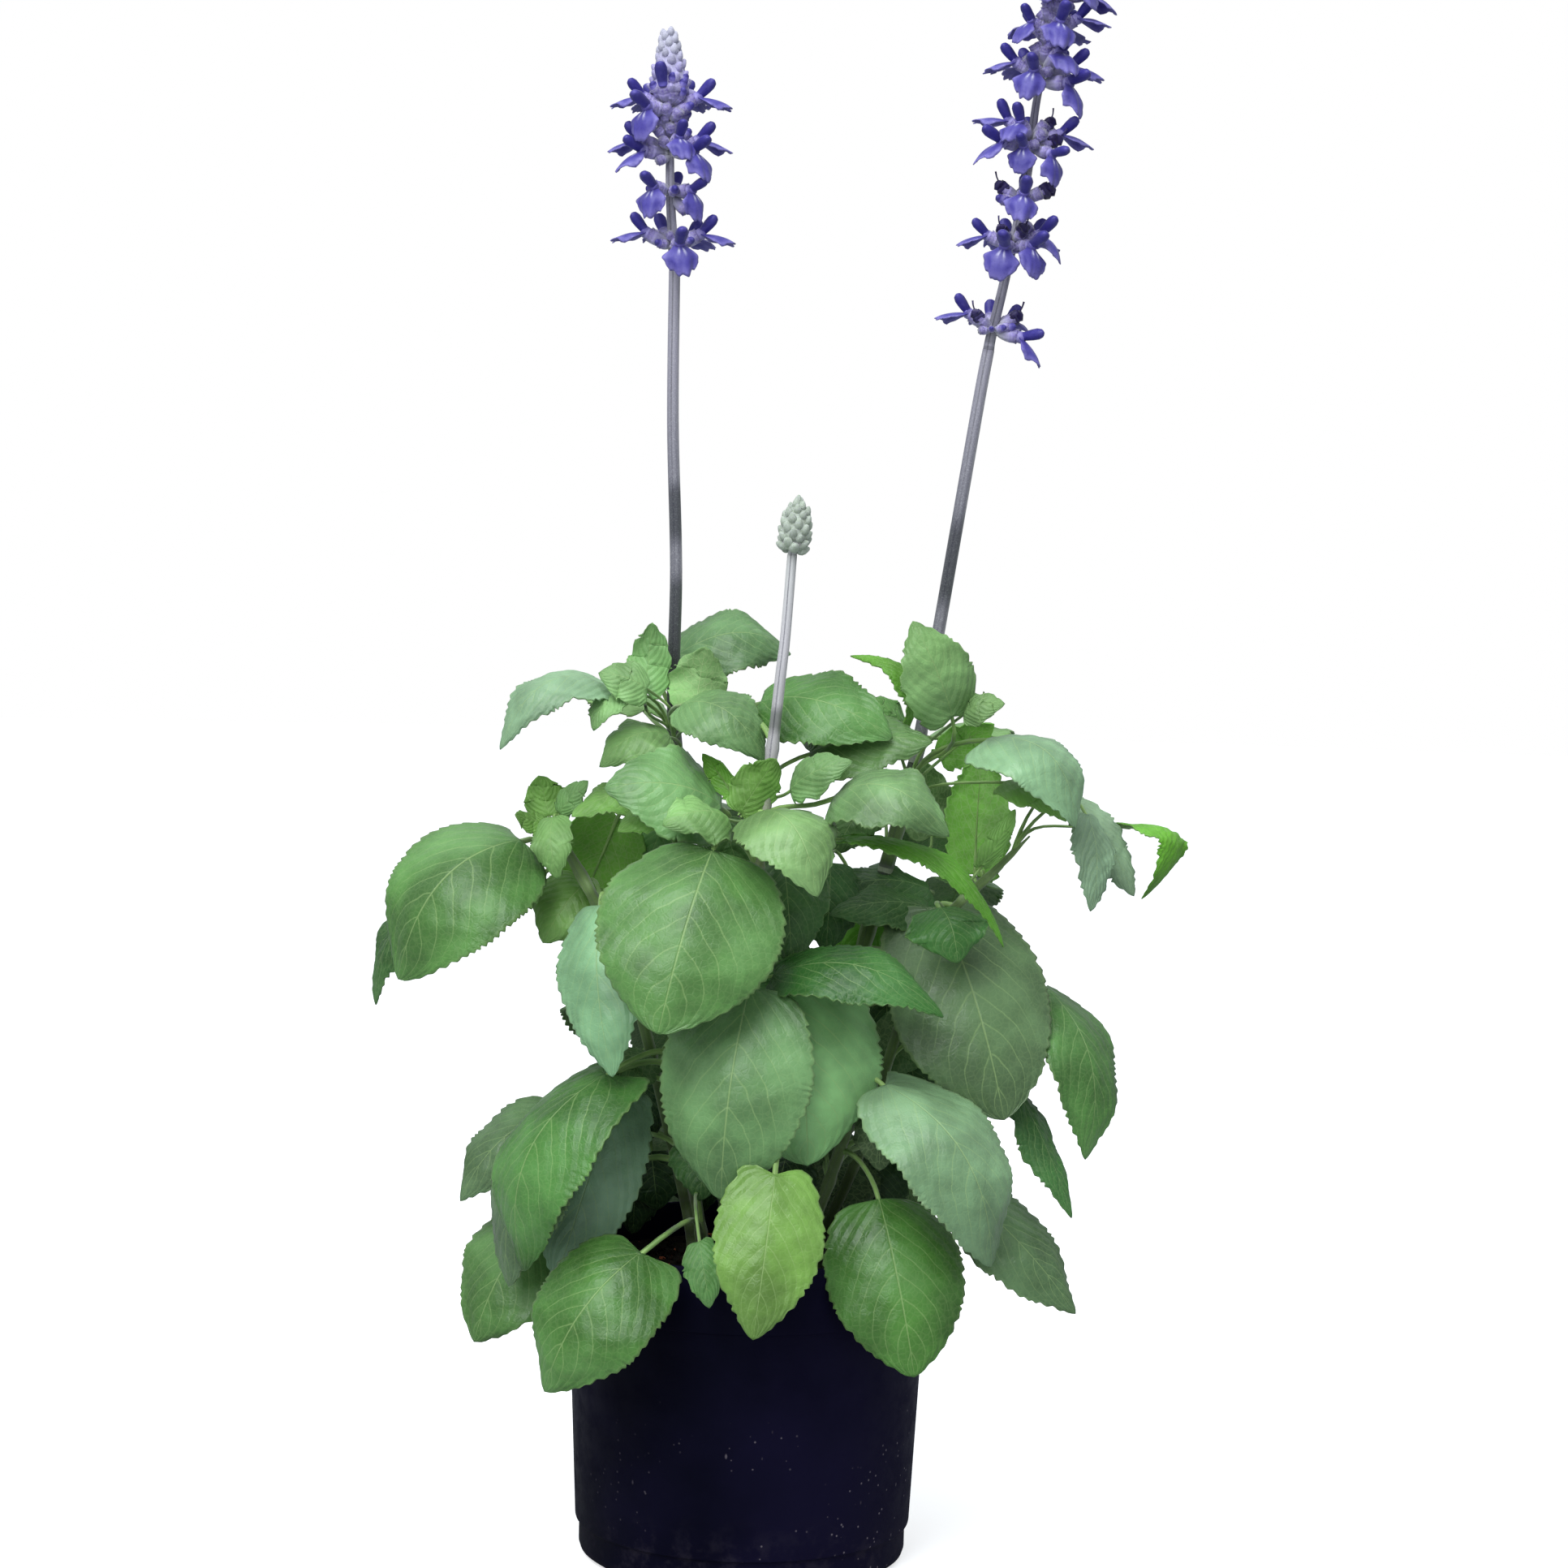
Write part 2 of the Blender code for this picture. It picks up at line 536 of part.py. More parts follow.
def add_face(bm, corners):
    """Adds a face, unless two of its corners are one."""
    if len(set(corners)) == len(corners):
        bm.faces.new(corners)


def build_stem(name, stem, material):
    """A stem in its hole in the soil, with all its leaves fused to it."""
    foot = [value * MM for value in stem["foot"]]
    points = [Vector((*foot, STEM_FOOT)), Vector((*foot, SOIL_TOP + 10 * MM))]
    points += [Vector(point) * MM for point in stem["path"]]
    path = [points[0]] + smooth_path(points[1:], 2)
    first, last = (radius * MM for radius in stem["radii"])
    body = tube(name, path, first, last, 1)
    body.data.materials.append(material)
    pieces = []
    for i, (node, base, tip, width, rise, turn, tilt) in enumerate(stem["leaves"]):
        start = on_path(path, node * MM)[0]
        pieces.append(leaf(f"{name}_leaf_{i}", start, Vector(base) * MM, Vector(tip) * MM,
                           width * MM, rise * MM, turn, tilt))
    combine(body, pieces, "UNION")
    shade(body, 30)


def floret(name, root, out, up, size):
    """A two-lipped floret as one closed shape: calyx tube, upper hood and broad lower lip."""
    across = out.cross(up).normalized()
    up = across.cross(out)
    step = MM * size
    bm = bmesh.new()

    def corner(along, side, high):
        return bm.verts.new(root + out * along * step + across * side * step + up * high * step)

    thin, mouth, calyx = FLORET["root"], FLORET["mouth"], FLORET["calyx"]
    (hood_out, hood_up), (lip_out, lip_wide) = FLORET["hood"], FLORET["lip"]
    foot = [corner(0, -thin, thin), corner(0, thin, thin), corner(0, thin, -thin), corner(0, -thin, -thin)]
    upper = [corner(calyx, -mouth, mouth), corner(calyx, mouth, mouth)]
    middle = [corner(calyx, -mouth, 0), corner(calyx, mouth, 0)]
    lower = [corner(calyx, -mouth, -mouth), corner(calyx, mouth, -mouth)]
    ridge = [corner(hood_out, -0.8, hood_up), corner(hood_out, 0.8, hood_up)]
    lip, under = [[corner(lip_out, -lip_wide, high), corner(lip_out - 3, 0, high),
                   corner(lip_out, lip_wide, high)] for high in (LIP_DROP, LIP_DROP - LIP_THICKNESS)]
    faces = [
        foot, [foot[0], foot[1], upper[1], upper[0]], [foot[3], foot[2], lower[1], lower[0]],
        [foot[1], upper[1], middle[1]], [foot[1], middle[1], foot[2]], [foot[2], middle[1], lower[1]],
        [foot[0], upper[0], middle[0]], [foot[0], middle[0], foot[3]], [foot[3], middle[0], lower[0]],
        [upper[0], upper[1], ridge[1], ridge[0]], [middle[0], middle[1], ridge[1], ridge[0]],
        [upper[0], middle[0], ridge[0]], [upper[1], middle[1], ridge[1]],
        [middle[0], middle[1], lip[1]], [middle[0], lip[1], lip[0]], [middle[1], lip[2], lip[1]],
        [lower[0], lower[1], under[1]], [lower[0], under[1], under[0]], [lower[1], under[2], under[1]],
        [middle[0], lip[0], under[0], lower[0]], [middle[1], lip[2], under[2], lower[1]],
        [lip[0], lip[1], under[1], under[0]], [lip[1], lip[2], under[2], under[1]],
    ]
    for corners in faces:
        bm.faces.new(corners)
    bmesh.ops.triangulate(bm, faces=bm.faces[:])
    return add_object(name, bm)


def bud(name, root, out, size):
    """A small closed bud, eight faces, with its inner point sunk in what it grows from."""
    bm = bmesh.new()
    bmesh.ops.create_cone(bm, segments=4, radius1=1, radius2=0, depth=1)
    bmesh.ops.translate(bm, verts=bm.verts[:], vec=(0, 0, 0.5))
    foot = bm.verts.new((0, 0, -0.8))
    ring = [vert for vert in bm.verts if abs(vert.co.z) < 1e-4]
    ring.sort(key=lambda vert: math.atan2(vert.co.y, vert.co.x))
    for i in range(4):
        bm.faces.new([ring[i], ring[(i + 1) % 4], foot])
    turn = Vector((0, 0, 1)).rotation_difference(out).to_matrix().to_4x4()
    scale = Matrix.Diagonal((BUD_RADIUS * MM * size, BUD_RADIUS * MM * size, BUD_LENGTH * MM * size, 1))
    bmesh.ops.transform(bm, verts=bm.verts[:], matrix=Matrix.Translation(root) @ turn @ scale)
    return add_object(name, bm)


def on_path(path, height):
    """Place and direction of an axis at a height."""
    for start, end in zip(path, path[1:]):
        if height <= end.z or end is path[-1]:
            share = (height - start.z) / (end.z - start.z)
            return start.lerp(end, share), (end - start).normalized()


def build_spike(name, spike, material):
    """The axis of a flower spike, its florets in whorls and the cone of buds at its tip."""
    path = [Vector(point) * MM for point in spike["path"]]
    path[0] = path[0] + (path[1] - path[0]).normalized() * GAP
    first, last = (radius * MM for radius in spike["radii"])
    body = tube(name, path, first, last, 1)
    body.data.materials.append(material)
    pieces = []
    for height, turn, pitch, size in spike["florets"]:
        place, axis = on_path(path, height * MM)
        turn, pitch = math.radians(turn), math.radians(pitch)
        level = Vector((math.cos(turn), math.sin(turn), 0))
        out = (level * math.cos(pitch) + axis * math.sin(pitch)).normalized()
        pieces.append(floret(f"{name}_floret_{len(pieces)}", place + level * 0.6 * MM, out, axis, size))
    low, high, wide = spike["cone"]
    rows = round((high - low) / BUD_ROW)
    for row in range(rows):
        share = row / rows
        height = low + (high - low - 2) * share
        reach = wide * math.sin(math.pi * (0.3 + 0.66 * share)) ** 0.8
        count = 5 if reach > 4 else 4
        for i in range(count):
            turn = math.tau * (i + 0.5 * (row % 2)) / count
            place, axis = on_path(path, height * MM)
            level = Vector((math.cos(turn), math.sin(turn), 0))
            out = (level + axis * (0.5 + 1.3 * share)).normalized()
            root = place + level * max(reach - 3.2, 0.6) * MM
            pieces.append(bud(f"{name}_bud_{row}_{i}", root, out, 0.75 + 0.25 * reach / wide))
    if spike["cone"]:
        core = [place_on_cone(path, low, high, share) for share in (0.02, 0.45, 0.96)]
        pieces.append(tube(name + "_core", core, (wide - 2.2) * MM, 1.0 * MM, 0))
    combine(body, pieces, "UNION")
    shade(body, 30)


def place_on_cone(path, low, high, share):
    return on_path(path, (low + (high - low) * share) * MM)[0]


clear_scene()
materials = {name: make_material(name) for name in MATERIALS}
build_pot(materials["pot_plastic"])
build_soil(materials["potting_soil"])
for stem_name, stem_plan in STEMS.items():
    build_stem(stem_name, stem_plan, materials["leaf_green"])
for spike_name, spike_plan in SPIKES.items():
    finish = "floret_violet" if spike_plan["florets"] else "bud_grey"
    build_spike(spike_name, spike_plan, materials[finish])
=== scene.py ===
import math
import random

import bmesh
import bpy
from mathutils import Matrix, Vector, noise


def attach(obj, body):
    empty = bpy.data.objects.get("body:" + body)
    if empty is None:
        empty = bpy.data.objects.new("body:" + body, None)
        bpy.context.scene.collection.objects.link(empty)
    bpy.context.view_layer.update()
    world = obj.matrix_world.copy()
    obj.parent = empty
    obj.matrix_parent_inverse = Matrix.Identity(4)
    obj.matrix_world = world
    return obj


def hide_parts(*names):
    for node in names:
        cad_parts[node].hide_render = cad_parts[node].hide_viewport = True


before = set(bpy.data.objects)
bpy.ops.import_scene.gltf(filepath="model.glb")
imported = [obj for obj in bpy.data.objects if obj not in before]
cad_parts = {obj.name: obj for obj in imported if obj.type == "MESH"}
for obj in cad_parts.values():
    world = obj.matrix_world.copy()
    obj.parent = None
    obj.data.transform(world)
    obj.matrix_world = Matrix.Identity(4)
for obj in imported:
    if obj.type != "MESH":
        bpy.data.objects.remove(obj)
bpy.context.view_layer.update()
mm = 0.001
mergeGap = 1e-6       # doubles closer than this are merged, in metres
spiralTurn = 2.39996  # from one bud of a cone to the next, in radians
scene = bpy.context.scene
print("frame loaded:", len(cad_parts), "nodes")


# small tools for meshes and paths
def addObject(name, bm, materials, smooth=True):
    mesh = bpy.data.meshes.new(name)
    bm.to_mesh(mesh)
    bm.free()
    for material in materials:
        mesh.materials.append(material)
    if smooth:
        mesh.shade_smooth()
    obj = bpy.data.objects.new(name, mesh)
    scene.collection.objects.link(obj)
    return obj


def addInto(bm, part, matrix=None):
    # puts a small finished bmesh or mesh into a bigger one
    mesh = part
    if isinstance(part, bmesh.types.BMesh):
        mesh = bpy.data.meshes.new("part")
        part.to_mesh(mesh)
        part.free()
    first = len(bm.verts)
    bm.from_mesh(mesh)
    bm.verts.ensure_lookup_table()
    if matrix is not None:
        bmesh.ops.transform(bm, matrix=matrix, verts=bm.verts[first:])
    if mesh is not part:
        bpy.data.meshes.remove(mesh)


def newTubeMesh(*colourLayers):
    # rib is 1 on a rib and 0 in a groove, along runs from 0 to 1 over a tube's rings
    bm = bmesh.new()
    for layerName in ("rib", "along"):
        bm.verts.layers.float.new(layerName)
    for layerName in colourLayers:
        bm.verts.layers.float_color.new(layerName)
    return bm


def useMaterial(bm, index):
    for face in bm.faces:
        face.material_index = index
    return bm


def blendTo(low, high, share):
    return low + (high - low) * share


def blendColours(first, second, share):
    return [blendTo(a, b, share) for a, b in zip(first, second)]


def softStep(share):
    share = min(max(share, 0.0), 1.0)
    return share * share * (3 - 2 * share)


def smoothPath(points, steps):
    path = []
    for i in range(len(points) - 1):
        before, start = points[max(i - 1, 0)], points[i]
        end, after = points[i + 1], points[min(i + 2, len(points) - 1)]
        for k in range(steps):
            t = k / steps
            path.append(0.5 * (2 * start + (end - before) * t
                               + (2 * before - 5 * start + 4 * end - after) * t ** 2
                               + (3 * start - before - 3 * end + after) * t ** 3))
    return path + [points[-1]]


def onPath(path, height):
    for start, end in zip(path, path[1:]):
        if height <= end.z or end is path[-1]:
            share = (height - start.z) / (end.z - start.z)
            return start.lerp(end, share), (end - start).normalized()


def growTube(path, radii, sides, ribs=0, flute=0.0, flat=1.0, turn=0.0, layers=()):
    # a disc pushed along a path: each step is an extrusion, moved to the next place on the path
    bm = newTubeMesh(*layers)
    rib, along = bm.verts.layers.float["rib"], bm.verts.layers.float["along"]
    bmesh.ops.create_circle(bm, cap_ends=True, segments=sides, radius=1)
    for vert in bm.verts:
        angle = math.atan2(vert.co.y, vert.co.x)
        wave = math.cos(ribs * angle) if ribs else 0
        vert[rib] = 0.5 + 0.5 * wave
        vert.co *= 1 + flute * wave
        vert.co.y *= flat
    frameNow = None
    way = (path[1] - path[0]).normalized()
    turned = (Vector((0, 0, 1)).rotation_difference(way)
              @ Matrix.Rotation(turn, 3, "Z").to_quaternion())
    cap = bm.faces[:]
    ring = bm.verts[:]
    for i, place in enumerate(path):
        ahead = path[min(i + 1, len(path) - 1)] - path[max(i - 1, 0)]
        turned = way.rotation_difference(ahead.normalized()) @ turned
        way = ahead.normalized()
        frameNext = Matrix.LocRotScale(place, turned, Vector((radii[i], radii[i], radii[i])))
        if i:
            made = bmesh.ops.extrude_face_region(bm, geom=cap)["geom"]  # the old cap stays, inside
            ring = [item for item in made if isinstance(item, bmesh.types.BMVert)]
            cap = [item for item in made if isinstance(item, bmesh.types.BMFace)]
            bmesh.ops.transform(bm, matrix=frameNext @ frameNow.inverted(), verts=ring)
        else:
            bmesh.ops.transform(bm, matrix=frameNext, verts=ring)
        for vert in ring:
            vert[along] = i / (len(path) - 1)
        frameNow = frameNext
    bmesh.ops.recalc_face_normals(bm, faces=bm.faces[:])
    return bm


def paintTube(bm, layerName, colours):
    # colours from the first ring to the last, evenly spaced
    tone, along = bm.verts.layers.float_color[layerName], bm.verts.layers.float["along"]
    for vert in bm.verts:
        place = vert[along] * (len(colours) - 1)
        low = min(int(place), len(colours) - 2)
        vert[tone] = blendColours(colours[low], colours[low + 1], place - low) + [1]


# tools for the finishes
def newMaterial(name, roughness, **sockets):
    material = bpy.data.materials.new(name)
    material.use_nodes = True
    shader = material.node_tree.nodes["Principled BSDF"]
    shader.inputs["Roughness"].default_value = roughness
    for socket, value in sockets.items():
        shader.inputs[socket.replace("_", " ")].default_value = value
    return material


def node(material, kind, **settings):
    made = material.node_tree.nodes.new(kind)
    for key, value in settings.items():
        setattr(made, key, value)
    return made


def wire(material, source, target):
    material.node_tree.links.new(source, target)


def plug(material, slot, value):
    # a number or a colour is set on the socket, anything else is wired to it
    if isinstance(value, (int, float)):
        slot.default_value = value
    elif isinstance(value, tuple):
        slot.default_value = (*value, 1)
    else:
        wire(material, value, slot)


def maths(material, operation, *values, clamp=False):
    made = node(material, "ShaderNodeMath", operation=operation, use_clamp=clamp)
    for slot, value in zip(made.inputs, values):
        plug(material, slot, value)
    return made.outputs[0]


def plus(material, first, second):
    return maths(material, "ADD", first, second)


def times(material, first, second):
    return maths(material, "MULTIPLY", first, second)


def rangeOf(material, value, low, high, toLow=0.0, toHigh=1.0, way="SMOOTHSTEP"):
    made = node(material, "ShaderNodeMapRange", interpolation_type=way)
    wire(material, value, made.inputs["Value"])
    ends = {"From Min": low, "From Max": high, "To Min": toLow, "To Max": toHigh}
    for slot, number in ends.items():
        made.inputs[slot].default_value = number
    return made.outputs["Result"]


def mixColour(material, share, first, second):
    made = node(material, "ShaderNodeMix", data_type="RGBA")
    for slot, value in zip((0, 6, 7), (share, first, second)):
        plug(material, made.inputs[slot], value)
    return made.outputs[2]


def attribute(material, name):
    return node(material, "ShaderNodeAttribute", attribute_name=name)


def partsOf(material, vector):
    split = node(material, "ShaderNodeSeparateXYZ")
    wire(material, vector, split.inputs[0])
    return split.outputs


def placeOn(material, stretch=(1, 1, 1)):
    coords = node(material, "ShaderNodeTexCoord")
    mapping = node(material, "ShaderNodeMapping")
    mapping.inputs["Scale"].default_value = stretch
    wire(material, coords.outputs["Object"], mapping.inputs["Vector"])
    return mapping.outputs["Vector"]


def noiseAt(material, place, scale, detail=3.0, rough=0.55):
    made = node(material, "ShaderNodeTexNoise")
    for slot, number in {"Scale": scale, "Detail": detail, "Roughness": rough}.items():
        made.inputs[slot].default_value = number
    wire(material, place, made.inputs["Vector"])
    return made.outputs["Fac"]


def cellsAt(material, place, scale, feature="DISTANCE_TO_EDGE"):
    made = node(material, "ShaderNodeTexVoronoi", feature=feature)
    made.inputs["Scale"].default_value = scale
    wire(material, place, made.inputs["Vector"])
    return made.outputs["Distance"]


def finish(material, colour=None, roughness=None, height=None, strength=0.5, distance=0.5):
    shader = material.node_tree.nodes["Principled BSDF"]
    if colour is not None:
        wire(material, colour, shader.inputs["Base Color"])
    if roughness is not None:
        wire(material, roughness, shader.inputs["Roughness"])
    if height is not None:
        bump = node(material, "ShaderNodeBump")
        bump.inputs["Strength"].default_value = strength
        bump.inputs["Distance"].default_value = distance * mm
        wire(material, height, bump.inputs["Height"])
        wire(material, bump.outputs["Normal"], shader.inputs["Normal"])
    return material


leafFinish = {
    "veins": 7.0,            # side veins on each half
    "veinLean": 0.30,        # how far a side vein runs forward on its way out
    "veinCurve": 0.32,
    "veinWander": 0.75,      # how unevenly the side veins are spaced
    "veinShow": 0.42,        # how much of a vein's own colour shows from above
    "netShow": 0.07,
    "netScale": 460,         # cells per metre of the fine net
    "rimShow": 0.22,         # the lighter margin
    "paintedSheenShow": 0.10,       # a greyish painted sheen, in patches
    "dapple": (0.60, 1.26),  # the darkest and the lightest patch, as a share of the leaf's green; random mottling, partly painted light and shade
    "upperRoughness": 0.34,
    "youngRoughness": 0.16,  # added on young leaves
    "lowerRoughness": 0.62,
    "pillows": 0.80,         # relief between the side veins
    "blisters": 1.6,         # relief of the finer bumps
    "veinColour": (0.36, 0.52, 0.20),
    "paintedSheenColour": (0.34, 0.50, 0.30),
    "lowerColour": (0.30, 0.42, 0.18),
    "lowerVein": (0.42, 0.56, 0.26),
    "lowerVeinShow": 0.45,
    "lowerNetShow": 0.18,
}


def leafMaterial(name, upper):
    v = leafFinish
    material = newMaterial(name, v["upperRoughness"] if upper else v["lowerRoughness"],
                           Sheen_Weight=0.02 if upper else 0.12, Sheen_Roughness=0.4,
                           Specular_IOR_Level=0.38)
    place = placeOn(material)
    spot = partsOf(material, attribute(material, "leafPlace").outputs["Vector"])
    # side is 0 on the midrib and 1 on the margin, gap is 0 on a side vein
    side = maths(material, "ABSOLUTE", maths(material, "MULTIPLY_ADD", spot["X"], 2.0, -1.0))
    lean = plus(material, times(material, side, v["veinLean"]),
                times(material, times(material, side, side), v["veinCurve"]))
    wander = maths(material, "MULTIPLY_ADD", noiseAt(material, place, 60, 2),
                   v["veinWander"], -v["veinWander"] / 2)
    forward = times(material, maths(material, "SUBTRACT", spot["Y"], lean), v["veins"])
    gap = times(material, maths(material, "PINGPONG", plus(material, wander, forward), 0.5), 2.0)
    sideVein = times(material, rangeOf(material, gap, 0.0, 0.12, 1, 0),
                     rangeOf(material, side, 0.45, 0.92, 1, 0))
    midVein = rangeOf(material, side, 0.005, 0.018, 1, 0)
    net = rangeOf(material, cellsAt(material, place, v["netScale"]), 0.0, 0.16, 1, 0)
    vein = maths(material, "MAXIMUM", midVein, times(material, sideVein, 0.75))
    leafTone = attribute(material, "leafTone")
    # random patches of darker and lighter green: partly mottling of the leaf, partly painted light
    # and shade
    patches = rangeOf(material, noiseAt(material, place, 38, 3), 0.3, 0.72, *v["dapple"])
    dapple = node(material, "ShaderNodeVectorMath", operation="SCALE")
    wire(material, leafTone.outputs["Color"], dapple.inputs[0])
    wire(material, patches, dapple.inputs["Scale"])
    colour = dapple.outputs[0]
    if upper:
        # painted sheen: pale grey-green patches laid over the upper side at random
        paintedSheen = rangeOf(material, noiseAt(material, place, 19, 2), 0.50, 0.70, 0, v["paintedSheenShow"])
        margin = rangeOf(material, side, 0.93, 1.0, 0, v["rimShow"])
        colour = mixColour(material, paintedSheen, colour, v["paintedSheenColour"])
        for share in (times(material, net, v["netShow"]), times(material, vein, v["veinShow"]),
                      margin):
            colour = mixColour(material, share, colour, v["veinColour"])
        height = plus(material, times(material, gap, v["pillows"]),
                      times(material, noiseAt(material, place, 1300, 2), 0.06))
        height = maths(material, "SUBTRACT", height, times(material, net, 0.16))
        height = maths(material, "SUBTRACT", height, times(material, midVein, 0.8))
        height = plus(material, height,
                      times(material, noiseAt(material, place, 210, 3), v["blisters"]))
        rough = rangeOf(material, noiseAt(material, place, 160, 3), 0.3, 0.7,
                        v["upperRoughness"] - 0.05, v["upperRoughness"] + 0.12)
        young = leafTone.outputs["Alpha"]
        rough = maths(material, "MULTIPLY_ADD", young, v["youngRoughness"], rough)
        return finish(material, colour, rough, height, 0.45, 0.5)
    colour = mixColour(material, 0.15, colour, v["lowerColour"])
    for share in (times(material, net, v["lowerNetShow"]),
                  times(material, vein, v["lowerVeinShow"])):
        colour = mixColour(material, share, colour, v["lowerVein"])
    height = plus(material, times(material, vein, 0.8), times(material, net, 0.2))
    return finish(material, colour, None, height, 0.5, 0.5)


leafUpper = leafMaterial("leafUpperSide", True)
leafLower = leafMaterial("leafLowerSide", False)

# colour of each leaf's green, from deep in the plant to the backlit and the glossy ones; several of
# these greens hold painted light: painted shade, painted backlight, painted sheen and a painted
# highlight
leafTones = {
    # the next tone is painted shade, for the small leaves deep inside the plant
    "dark": (0.018, 0.062, 0.018),
    "deep": (0.048, 0.150, 0.032),
    "mid": (0.088, 0.225, 0.050),
    "fresh": (0.160, 0.355, 0.066),
    # the next tone is painted backlight: a saturated yellow-green for leaves with light shining
    # through them
    "lit": (0.120, 0.370, 0.022),
    "rich": (0.066, 0.200, 0.034),
    "soft": (0.138, 0.292, 0.098),
    # the next tone is for young leaves, and is partly painted sky light on leaves that face up
    "pale": (0.188, 0.375, 0.118),
    # the next tone is partly the greyer underside and partly painted sheen
    "silver": (0.250, 0.430, 0.235),
    "grey": (0.112, 0.215, 0.088),
    "cool": (0.092, 0.235, 0.056),
    # the next tone is painted light that lifts a leaf lying in shade
    "shade": (0.270, 0.430, 0.285),
    # the next tone is painted sheen: a greyer green for a leaf in a highlight
    "ash": (0.185, 0.325, 0.165),
    # the next tone is painted sheen and painted light: a pale grey-green for a glossy leaf lying in
    # shade
    "paintedSheen": (0.255, 0.500, 0.190),
    # the next tone is a painted highlight: a pale grey-green for a leaf with a white gloss
    "paintedHighlight": (0.225, 0.440, 0.215),
    "glossy": (0.032, 0.135, 0.020),
}

# stops of the two ramps: height over the floor in metres, colour
stemFinish = {
    "greenRamp": (
        (0.10, (0.060, 0.095, 0.022)), (0.20, (0.130, 0.235, 0.052)),
        (0.276, (0.150, 0.240, 0.072)), (0.30, (0.078, 0.078, 0.088)),
        (0.38, (0.100, 0.099, 0.124)), (0.46, (0.280, 0.268, 0.330))),
    "paleRamp": (
        (0.10, (0.060, 0.095, 0.022)), (0.20, (0.120, 0.210, 0.045)),
        (0.262, (0.190, 0.240, 0.095)), (0.29, (0.270, 0.265, 0.260)),
        (0.33, (0.400, 0.390, 0.410)), (0.36, (0.480, 0.490, 0.480))),
    "rampFrom": 0.10,
    "rampTo": 0.50,
    "woodyFrom": 0.245,      # below this height grooves and down hardly show
    "woodyTo": 0.300,
    "groove": (0.050, 0.048, 0.070),
    "grooveDepth": 0.80,
    "down": (0.55, 0.56, 0.58),
    "downShow": 0.25,
}


def stemMaterial(name, ramp):
    v = stemFinish
    material = newMaterial(name, 0.55, Sheen_Weight=0.35, Sheen_Roughness=0.5)
    place = placeOn(material)
    height = partsOf(material, place)["Z"]
    zones = node(material, "ShaderNodeValToRGB")
    low, high = v["rampFrom"], v["rampTo"]
    wire(material, rangeOf(material, height, low, high, way="LINEAR"), zones.inputs["Fac"])
    stops = zones.color_ramp.elements
    while len(stops) < len(ramp):
        stops.new(0.5)
    for stop, (level, colour) in zip(stops, ramp):
        stop.position = (level - low) / (high - low)
        stop.color = (*colour, 1)
    rib = attribute(material, "rib").outputs["Fac"]
    streak = noiseAt(material, placeOn(material, (900, 900, 22)), 1.0, 3)
    upper = rangeOf(material, height, v["woodyFrom"], v["woodyTo"], 0.25, 1)
    groove = times(material, rangeOf(material, rib, 0.0, 0.28, 1, 0), v["grooveDepth"])
    streaks = rangeOf(material, streak, 0.56, 0.70, 0, 0.18)
    groove = maths(material, "ADD", groove, streaks, clamp=True)
    groove = times(material, groove, upper)
    colour = mixColour(material, groove, zones.outputs["Color"], v["groove"])
    down = rangeOf(material, noiseAt(material, place, 2600, 2), 0.45, 0.75, 0, v["downShow"])
    colour = mixColour(material, times(material, upper, down), colour, v["down"])
    return finish(material, colour, None, streak, 0.35, 0.3)


stalkFinish = {"light": (0.270, 0.450, 0.120), "dark": (0.170, 0.320, 0.075),
               "groove": (0.060, 0.110, 0.030), "grooveShow": 0.35}


def stalkMaterial():
    # the leaves' own stalks: two light greens in patches, darker in the groove
    v = stalkFinish
    material = newMaterial("leafStalk", 0.5, Sheen_Weight=0.2)
    place = placeOn(material)
    rib = attribute(material, "rib").outputs["Fac"]
    patch = rangeOf(material, noiseAt(material, place, 90, 2), 0.35, 0.7)
    colour = mixColour(material, patch, v["light"], v["dark"])
    groove = rangeOf(material, rib, 0.0, 0.5, v["grooveShow"], 0)
    colour = mixColour(material, groove, colour, v["groove"])
    return finish(material, colour, None, noiseAt(material, place, 1500, 2), 0.2, 0.2)


stemGreen = stemMaterial("stemGreenToMauve", stemFinish["greenRamp"])
stemPale = stemMaterial("stemGreenToPale", stemFinish["paleRamp"])
leafStalk = stalkMaterial()
print("leaf and stem finishes made")

leafShape = {
    "columns": 14,
    "rowsPerTooth": 4,
    "toothLength": 3.6,
    "toothDepth": 1.05,
    "youngWidth": 16,    # a leaf this wide is young, and 20 mm wider it isn't any more
    "bluntWidth": 30,    # from this width to twice that, tips turn from pointed to blunt
    "fold": 14,          # how far each half drops from the midrib
    "thickness": 0.5,
    "quilting": 0.42,    # height of the swelling between two side veins
    "swelling": 1.6,     # uneven rise and fall of the whole blade
    "wave": 1.5,         # height of the waves in the margin
    "edgeDroop": 0.06,
    "widest": 0.40,
    "baseLobe": 0.13,    # how far the round base reaches back, as a share of the length
    "twist": 9,
}


def halfWidth(t, width):
    # round at the base, widest at two fifths, then blunt on a broad leaf and pointed on a small one
    v = leafShape
    peak = v["widest"]
    if t <= 0 or t >= 1:
        return 0
    if t < peak:
        return width / 2 * (1 - (1 - t / peak) ** 2.3) ** 0.55
    blunt = softStep((width / mm - v["bluntWidth"]) / v["bluntWidth"])
    beyond = ((t - peak) / (1 - peak)) ** blendTo(1.75, 2.3, blunt)
    return width / 2 * (1 - beyond) ** blendTo(0.86, 0.70, blunt)
